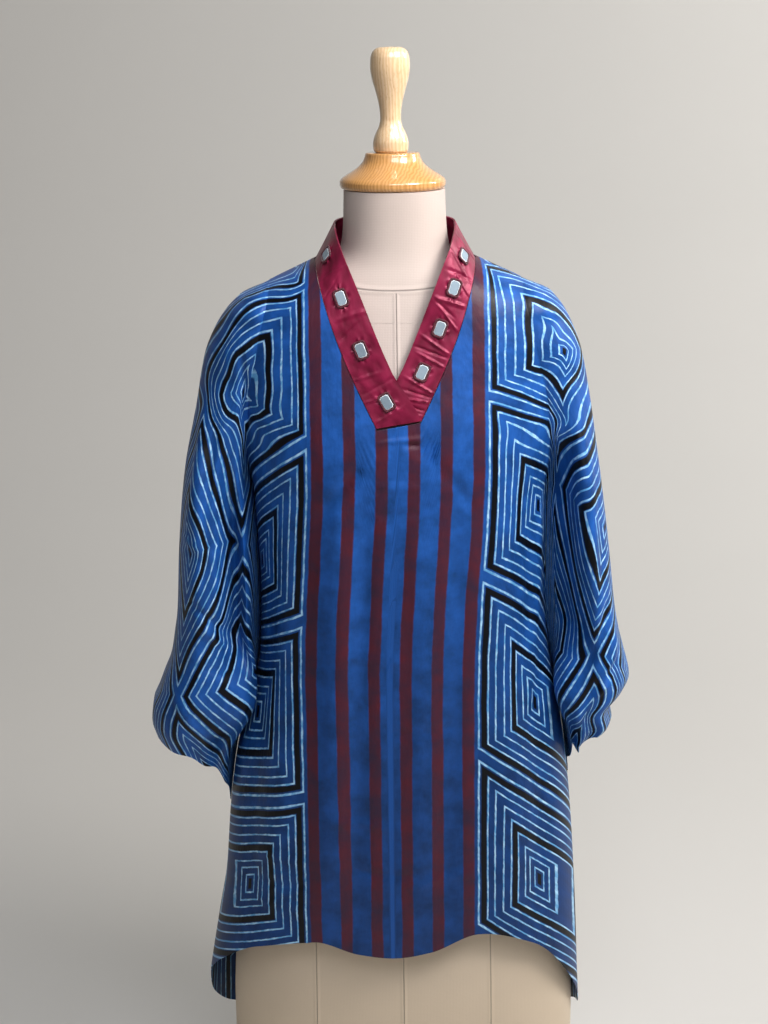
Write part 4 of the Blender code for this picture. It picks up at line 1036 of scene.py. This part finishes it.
threads = (place, WAVE_SPAN / VISCOSE_THREAD, 0.6, 1.0)
weft = add("TexWave", threads, give=1, bands_direction="Y")
warp = add("TexWave", threads, give=1, bands_direction="X")
woven = add("Math", (weft, warp))
drawn = add("Mapping", {"Vector": place, "Scale": (1.0, 0.45, 1.0)})
crumple = add("TexNoise", {"Vector": drawn, "Scale": 70.0, "Detail": 3.0, "Roughness": 0.55})
fine = add("Bump", {"Height": woven, "Strength": 0.10, "Distance": 0.0002})
bump = add("Bump", {"Height": crumple, "Strength": 0.32, "Distance": 0.0035, "Normal": fine})
gloss = {"Roughness": add("MapRange", (pooled, 0.0, 1.0, 0.40, 0.50)), "Specular IOR Level": 0.28}
add("BsdfPrincipled", {"Base Color": colour, "Normal": bump, **gloss})

for name, face, folds, columns, cut, area in (
    ("front", -1, FRONT_FOLDS, FRONT_COLUMNS, FRONT_CUT, FRONT_AREA),
    ("back", 1, {-1: BACK_FOLDS, 1: BACK_FOLDS}, BACK_COLUMNS, BACK_CUT, BACK_AREA),
):
    points, quads, flat = garment_half(face, folds, columns)
    piece = cloth_piece(f"kaftan_{name}", creased(points, quads, face), quads, flat, CLOTH, printed)
    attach(piece, "root")
    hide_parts(name)

# ---------------------------------------------------------------------------------------------
# Neckband: two strips of burgundy satin, cut on the bias, folded double and sewn to the neckline.
# They are joined at the centre back, stand up around the neck and cross at the foot of the V,
# the left strip over the right.

BAND_WIDTH = 0.039
BAND_CLOTH = 0.0018
BAND_CUT_WIDTH = 0.041
BAND_CUT_LENGTH = 0.365
BAND_START = 0.0007
BAND_LAP = 0.0030
BAND_END = 0.992
BAND_END_WIDTH = {-1: 0.0462, 1: 0.0415}
# Which way a strip stands off the neckline; t is -1 at the centre back and 1 at the V's foot
BAND_RISE = table("t inward forward up", [
    (-1.0, 0.02, 0.2, 0.98), (-0.6, 0.25, 0.12, 0.96), (-0.2, 0.42, 0.02, 0.9), (0.0, 0.5, -0.02, 0.86),
    (0.2, 0.58, -0.03, 0.81), (0.4, 0.74, -0.06, 0.66), (0.6, 0.87, -0.08, 0.47), (0.8, 0.925, -0.08, 0.37),
    (1.0, 0.985, -0.04, 0.16),
])
BAND_STEPS = 420
BAND_ACROSS = 32
MIRROR_PLACES = {-1: [0.13, 0.42, 0.68, 0.905], 1: [0.16, 0.38, 0.60, 0.81]}
# Folds pressed into the satin: place along the strip and across it, which way they run, from 0
# along the strip to 1 across it, their length and half width, and how far they stand up.
SATIN_FOLDS = {
    -1: table("t across turn length width lift", [
        (0.27, 0.55, 0.8, 0.03, 0.002, 0.0007), (0.33, 0.3, 1.1, 0.024, 0.0016, -0.0006),
        (0.52, 0.6, 0.85, 0.032, 0.0024, 0.0008), (0.58, 0.4, 1.15, 0.026, 0.0018, -0.0006),
        (0.79, 0.3, 0.95, 0.03, 0.0018, 0.0009), (0.84, 0.55, 1.1, 0.034, 0.0016, -0.0008),
        (0.885, 0.2, 1.0, 0.024, 0.0014, 0.001), (0.955, 0.35, 1.2, 0.032, 0.0018, 0.0009),
        (-0.3, 0.5, 0.9, 0.03, 0.0024, 0.0008), (-0.62, 0.45, 1.05, 0.032, 0.0022, -0.0007),
    ]),
    1: table("t across turn length width lift", [
        (0.07, 0.45, 0.85, 0.034, 0.0022, 0.001), (0.24, 0.6, 1.15, 0.038, 0.0022, 0.0012),
        (0.28, 0.4, 0.75, 0.034, 0.002, -0.001), (0.33, 0.25, 1.2, 0.03, 0.0016, 0.001),
        (0.46, 0.5, 0.8, 0.04, 0.0024, 0.0013), (0.5, 0.65, 1.1, 0.03, 0.0018, -0.001),
        (0.54, 0.35, 1.25, 0.034, 0.0018, 0.001), (0.68, 0.4, 1.1, 0.036, 0.0018, 0.0013),
        (0.715, 0.45, 0.95, 0.036, 0.0015, -0.0012), (0.75, 0.35, 1.05, 0.034, 0.0015, 0.0013),
        (0.865, 0.35, 1.12, 0.036, 0.0015, 0.0014), (0.893, 0.3, 1.0, 0.034, 0.0013, -0.0012),
        (0.92, 0.3, 0.92, 0.034, 0.0014, 0.0014), (0.948, 0.25, 1.06, 0.03, 0.0013, -0.0012),
        (0.975, 0.25, 1.0, 0.028, 0.0013, 0.0012), (-0.25, 0.5, 0.95, 0.032, 0.0024, 0.0009),
        (-0.55, 0.4, 1.1, 0.03, 0.002, -0.0008), (-0.8, 0.55, 0.85, 0.03, 0.0022, 0.0008),
    ]),
}
# The thread frames draw the satin into rays, which are highest at PUCKER_TOP from the middle
PUCKER_START = 0.0045
PUCKER_TOP = 0.0065
PUCKER_END = 0.0115
PUCKER_LIFT = 0.0007
PUCKER_RAYS = (7, 11)
PUCKER_LONG = 1.3  # longer along the strip than across it
FLAT_UNDER_MIRROR = (0.0040, 0.0075)
rise_at = tracks(BAND_RISE)


def band_point(side, t, across):
    """Point of a strip; across is 0 at the neckline seam and 1 at the free edge."""
    rise = np.array((-side * rise_at["inward"](t), -rise_at["forward"](t), rise_at["up"](t)))
    rise /= np.linalg.norm(rise)
    width = BAND_WIDTH + (BAND_END_WIDTH[side] - BAND_WIDTH) * ease(t, 0.8, 1.0)
    point = neck_curve(side, abs(t), 1 if t < 0 else -1) + rise * (BAND_START + width * across)
    lap = BAND_LAP * ease(t, 0.45, 0.66) * ease(across)
    return point + np.array((0, side * lap, 0))


def satin_lift(side, along, across, along_at):
    """How far the satin stands off its strip at metres along and across it."""
    lift = np.zeros_like(along)
    for fold in SATIN_FOLDS[side]:
        turn = fold.turn * math.pi / 2
        da = along - along_at(fold.t)
        dc = across - fold.across * BAND_WIDTH
        lengthways = da * math.cos(turn) + dc * math.sin(turn)
        off = dc * math.cos(turn) - da * math.sin(turn)
        lift += fold.lift * ridge(off, fold.width, 0.7) * np.exp(-((2 * lengthways / fold.length) ** 4))
    for number, t in enumerate(MIRROR_PLACES[side]):
        da = (along - along_at(t)) / PUCKER_LONG
        dc = across - 0.5 * BAND_WIDTH
        far, angle = np.hypot(da, dc), np.arctan2(da, dc)
        few, many = PUCKER_RAYS
        rays = np.cos(few * angle + 1.7 * number) + 0.6 * np.cos(many * angle + number)
        rays = rays * ease(far, PUCKER_START, PUCKER_TOP) * (1 - ease(far, PUCKER_TOP, PUCKER_END))
        lift = (lift + PUCKER_LIFT * rays) * ease(far, *FLAT_UNDER_MIRROR)
    return lift * ease(across, 0.0, 0.004) * ease(BAND_WIDTH - across, 0.0, 0.003)


# Satin's smooth face, with slubs 25 mm long and 1 mm wide along the strip, and softly crushed
# about every 15 mm
satin = surface("burgundy_satin", 0.36)
add = partial(node, satin)
place = add("Attribute", give="Vector", attribute_name="print_place")
drawn = add("Mapping", {"Vector": place, "Scale": (40.0, 900.0, 1.0)})
slub = add("TexNoise", {"Vector": drawn, "Scale": 1.0, "Detail": 3.0})
drawn = add("Mapping", {"Vector": place, "Scale": (55.0, 85.0, 1.0), "Rotation": (0, 0, 0.5)})
crush = add("TexNoise", {"Vector": drawn, "Scale": 1.0, "Detail": 1.5, "Roughness": 0.4})
# Painted light: the satin's colour follows the crush, lighter where it stands up and darker in its hollows
tone = add("MapRange", (crush, 0.3, 0.7))
colour = add("Mix", {0: tone, 6: linear("#5c1028"), 7: linear("#8a1f42")}, give=2, data_type="RGBA")
fine = add("Bump", {"Height": slub, "Strength": 0.12, "Distance": 0.0002})
bump = add("Bump", {"Height": crush, "Strength": 0.5, "Distance": 0.0030, "Normal": fine})
gloss = {"Specular IOR Level": 0.75, "Specular Tint": linear("#ff9db4"), "Anisotropic": 0.35}
add("BsdfPrincipled", {"Base Color": colour, "Normal": bump, **gloss})

for side in (-1, 1):
    ts = np.linspace(-1.0, BAND_END, BAND_STEPS + 1)
    steps = np.arange(BAND_ACROSS + 1) / BAND_ACROSS
    grid = np.array([[band_point(side, t, step) for step in steps] for t in ts])
    grid[0, :, 0] = side * SEAM / 2
    along = np.concatenate([[0], np.cumsum(np.linalg.norm(np.diff(grid[:, 0], axis=0), axis=1))])
    flat = np.stack(np.meshgrid(along, steps * BAND_WIDTH, indexing="ij"), axis=-1)
    quads = grid_quads(np.arange(flat.size // 2).reshape(flat.shape[:2]), flip=side < 0)
    out = sheet_normals(grid.reshape(-1, 3), quads).reshape(grid.shape)
    grid += out * satin_lift(side, flat[..., 0], flat[..., 1], through(ts, along))[..., None]
    name = f"neckband_{side_name(side)}"
    strip = cloth_piece(f"{name}_strip", grid.reshape(-1, 3), quads, flat.reshape(-1, 2), BAND_CLOTH, satin)
    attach(strip, "root")
    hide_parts(name)
    cut = (BAND_CUT_WIDTH, BAND_CUT_LENGTH)

# ---------------------------------------------------------------------------------------------
# Mirrors: small plates of silvered glass with cut corners, four on each front strip, each held
# by a frame of burgundy thread worked over its edge.

MIRROR_WIDTH = 0.0095
MIRROR_LENGTH = 0.0145
MIRROR_CORNER = 0.0018
MIRROR_THICKNESS = 0.0011
MIRROR_BEVEL = 0.0006
MIRROR_LIFT = 0.0006
FRAME_THREAD = 0.0012  # half the thickness of the worked frame
FRAME_GAP = 0.0006
FRAME_ROUND = 0.38
FRAME_SIDES = 8
FRAME_STEPS = 96
STITCH_WAVES = 5700  # turns, in radians, of the frame's thickness along a metre of it
STITCH = 0.0011

silvered = surface("silvered_glass", 0.16, metallic=0.45)
add = partial(node, silvered)
waves = add("TexNoise", {"Vector": add("TexCoord", give="Object"), "Scale": 160.0, "Detail": 1.0})
bump = add("Bump", {"Height": waves, "Strength": 0.3, "Distance": 0.0006})
# Painted reflection: the glass is only part metallic, and the rest is a flat blue-grey, the colour of what
# the mirrors show
add("BsdfPrincipled", {"Base Color": linear("#a4b8c8"), "Normal": bump})

# The plate's edge is ground matt with carborundum, so it shows as a white rim
ground_edge = surface("ground_glass_edge", 0.55)
add = partial(node, ground_edge)
grit = add("TexNoise", {"Vector": add("TexCoord", give="Object"), "Scale": 2500.0, "Detail": 2.0})
tone = add("Mix", {0: grit, 6: linear("#c3ced6"), 7: linear("#e8f0f4")}, give=2, data_type="RGBA")
bump = add("Bump", {"Height": grit, "Strength": 0.2, "Distance": 0.0001})
add("BsdfPrincipled", {"Base Color": tone, "Normal": bump})

# Burgundy cotton thread, worked over the edge in close buttonhole stitches 0.5 mm apart, drawn
# 1.1 mm apart so that they show
frame_thread = surface("burgundy_cotton_thread", 0.62)
add = partial(node, frame_thread)
place = add("Attribute", give="Vector", attribute_name="print_place")
stitches = add("TexWave", (place, WAVE_SPAN / STITCH, 0.8, 1.0), give=1, bands_direction="X")
# Painted shade: the thread is darker between its stitches and lighter on them
tone = add("Mix", {0: stitches, 6: linear("#2e0713"), 7: linear("#6d1630")}, give=2, data_type="RGBA")
bump = add("Bump", {"Height": stitches, "Strength": 0.7, "Distance": 0.0004})
add("BsdfPrincipled", {"Base Color": tone, "Normal": bump, "Sheen Weight": 0.3, "Sheen Roughness": 0.4})


def mirror_frame(side, t):
    """Middle of a mirror and its directions over, along and out of the strip."""
    step = 0.01
    middle = band_point(side, t, 0.5)
    along = band_point(side, t + step, 0.5) - band_point(side, t - step, 0.5)
    over = band_point(side, t, 0.6) - band_point(side, t, 0.4)
    out = np.cross(over, along) * side
    along, out = along / np.linalg.norm(along), out / np.linalg.norm(out)
    return middle, np.cross(along, out), along, out


def cut_corner_outline(half_w, half_l, corner):
    outline = []
    for sx, sy in ((1, 1), (-1, 1), (-1, -1), (1, -1)):
        pair = [(sx * (half_w - corner), sy * half_l), (sx * half_w, sy * (half_l - corner))]
        outline += pair if sx * sy < 0 else pair[::-1]
    return outline


def thread_frame(name, middle, over, along, out):
    """A worked cord round the plate: a tube of eight sides along its rounded outline."""
    turn = 2 * np.pi * np.arange(FRAME_STEPS) / FRAME_STEPS
    path = middle + out * (FRAME_THREAD * 0.75)
    for size, direction, swing in ((MIRROR_WIDTH, over, np.cos(turn)), (MIRROR_LENGTH, along, np.sin(turn))):
        half = size / 2 + FRAME_GAP + FRAME_THREAD * 0.6
        path = path + np.outer(half * np.sign(swing) * np.abs(swing) ** FRAME_ROUND, direction)
    ahead = np.roll(path, -1, axis=0) - np.roll(path, 1, axis=0)
    ahead /= np.linalg.norm(ahead, axis=1, keepdims=True)
    sideways = np.cross(ahead, out)
    run = np.concatenate([[0], np.cumsum(np.linalg.norm(np.diff(path, axis=0), axis=1))])
    thick = FRAME_THREAD * (1 + 0.10 * np.sin(run * STITCH_WAVES))[:, None]
    points, places = [], []
    for angle in 2 * np.pi * np.arange(FRAME_SIDES) / FRAME_SIDES:
        points.append(path + thick * (math.cos(angle) * sideways + 0.8 * math.sin(angle) * out))
        places.append(np.stack([run, np.full_like(run, angle * FRAME_THREAD), np.zeros_like(run)], axis=1))
    index = np.arange(FRAME_SIDES * FRAME_STEPS).reshape(FRAME_SIDES, FRAME_STEPS)
    faces = grid_quads(np.pad(index, (0, 1), mode="wrap"), flip=False)
    piece = piece_from(name, np.concatenate(points), faces, frame_thread)
    keep(piece, "print_place", np.concatenate(places))
    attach(piece, "root")


for side, places in MIRROR_PLACES.items():
    for number, t in enumerate(places, start=1):
        middle, over, along, out = mirror_frame(side, t)
        rings = []
        for inset, height in ((0.0, 0.0), (0.0, 0.6), (MIRROR_BEVEL, 1.0)):
            outline = cut_corner_outline(MIRROR_WIDTH / 2 - inset, MIRROR_LENGTH / 2 - inset, MIRROR_CORNER)
            lift = MIRROR_LIFT + MIRROR_THICKNESS * height
            rings.append([middle + over * a + along * b + out * lift for a, b in outline])
        name = f"mirror_{side_name(side)}_{number}"
        faces = ring_faces(len(rings), len(outline))
        glass = piece_from(f"{name}_glass", np.concatenate(rings), faces, silvered, smooth_angle=20)
        glass.data.materials.append(ground_edge)
        for polygon in glass.data.polygons[: (len(rings) - 1) * len(outline)]:
            polygon.material_index = 1
        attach(glass, "root")
        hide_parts(name)
        thread_frame(f"{name}_thread_frame", middle, over, along, out)

# ---------------------------------------------------------------------------------------------
# Floor and backdrop: one sweep of pale seamless paper. Soft lights from the high right, the front
# and above light it and the form.

SWEEP_HALF = 14.0
SWEEP = [(-14.0, 0.0), (1.2, 0.0), (1.55, 0.03), (1.85, 0.12), (2.1, 0.28), (2.3, 0.52)]
SWEEP += [(2.42, 0.85), (2.45, 1.2), (2.45, 5.0)]
paper = surface("seamless_paper", 0.9)
add = partial(node, paper)
cloudy = add("TexNoise", {"Vector": add("TexCoord", give="Object"), "Scale": 0.9, "Detail": 2.0})
tone = add("Mix", {0: cloudy, 6: linear("#d0cfcb"), 7: linear("#d6d4d0")}, give=2, data_type="RGBA")
add("BsdfPrincipled", {"Base Color": tone})
sweep_points = [(x, y, z) for y, z in SWEEP for x in (-SWEEP_HALF, SWEEP_HALF)]
sweep_faces = [(2 * k, 2 * k + 1, 2 * k + 3, 2 * k + 2) for k in range(len(SWEEP) - 1)]
sweep = piece_from("floor_and_backdrop", sweep_points, sweep_faces, paper)

# The studio's white walls: pale where the camera sees them, and little light from them
WALL_LIGHT = 0.04
WALL_SEEN = 0.62
world = bpy.data.worlds.new("studio")
world.use_nodes = True
walls = world.node_tree.nodes["Background"]
walls.inputs["Color"].default_value = linear("#e9e7e4")
seen = node(world, "LightPath", give="Is Camera Ray")
strength = node(world, "MapRange", (seen, 0.0, 1.0, WALL_LIGHT, WALL_SEEN))
world.node_tree.links.new(strength, walls.inputs["Strength"])
bpy.context.scene.world = world
bpy.context.scene.view_settings.view_transform = "Standard"


def soft_light(name, at, towards, size, watts, colour):
    lamp = bpy.data.lights.new(name, "AREA")
    lamp.shape = "RECTANGLE"
    lamp.size, lamp.size_y = size
    lamp.energy = watts
    lamp.color = linear(colour)[:3]
    holder = bpy.data.objects.new(name, lamp)
    holder.location = at
    holder.rotation_euler = (Vector(towards) - Vector(at)).to_track_quat("-Z", "Y").to_euler()
    bpy.context.scene.collection.objects.link(holder)


soft_light("key_from_high_right", (0.80, -0.65, 1.95), (0.0, 0.0, 0.85), (0.55, 0.55), 27, "#fffaf6")
soft_light("window_from_high_front", (0.25, -1.45, 2.30), (0.0, 0.0, 0.85), (0.8, 0.8), 17, "#f4f6ff")
soft_light("backdrop_light", (2.7, 0.7, 2.2), (0.7, 2.4, 1.5), (1.2, 1.2), 68, "#fffdfb")
soft_light("overhead_panel", (0.0, 0.0, 4.2), (0.0, 0.0, 0.0), (3.0, 3.0), 10, "#fffdf8")
for x, watts in ((-8.0, 50), (8.0, 120)):
    soft_light("floor_wash_side", (x, 0.0, 4.0), (x, 0.0, 0.0), (8.0, 16.0), watts, "#fffdf8")
soft_light("floor_wash_front", (0.0, -8.0, 4.0), (0.0, -8.0, 0.0), (8.0, 8.0), 120, "#fffdf8")

camera_data = bpy.data.cameras.new("camera")
camera_data.sensor_width = 36.0
camera_data.lens = camera_data.sensor_width * LENS_PIXELS / PICTURE_HEIGHT
camera = bpy.data.objects.new("camera", camera_data)
camera.location = CAMERA_AT
turn = Matrix.Rotation(math.pi / 2 - CAMERA_PITCH, 4, "X") @ Matrix.Rotation(CAMERA_ROLL, 4, "Z")
camera.rotation_euler = turn.to_euler()
bpy.context.scene.collection.objects.link(camera)
bpy.context.scene.camera = camera

bpy.context.view_layer.update()
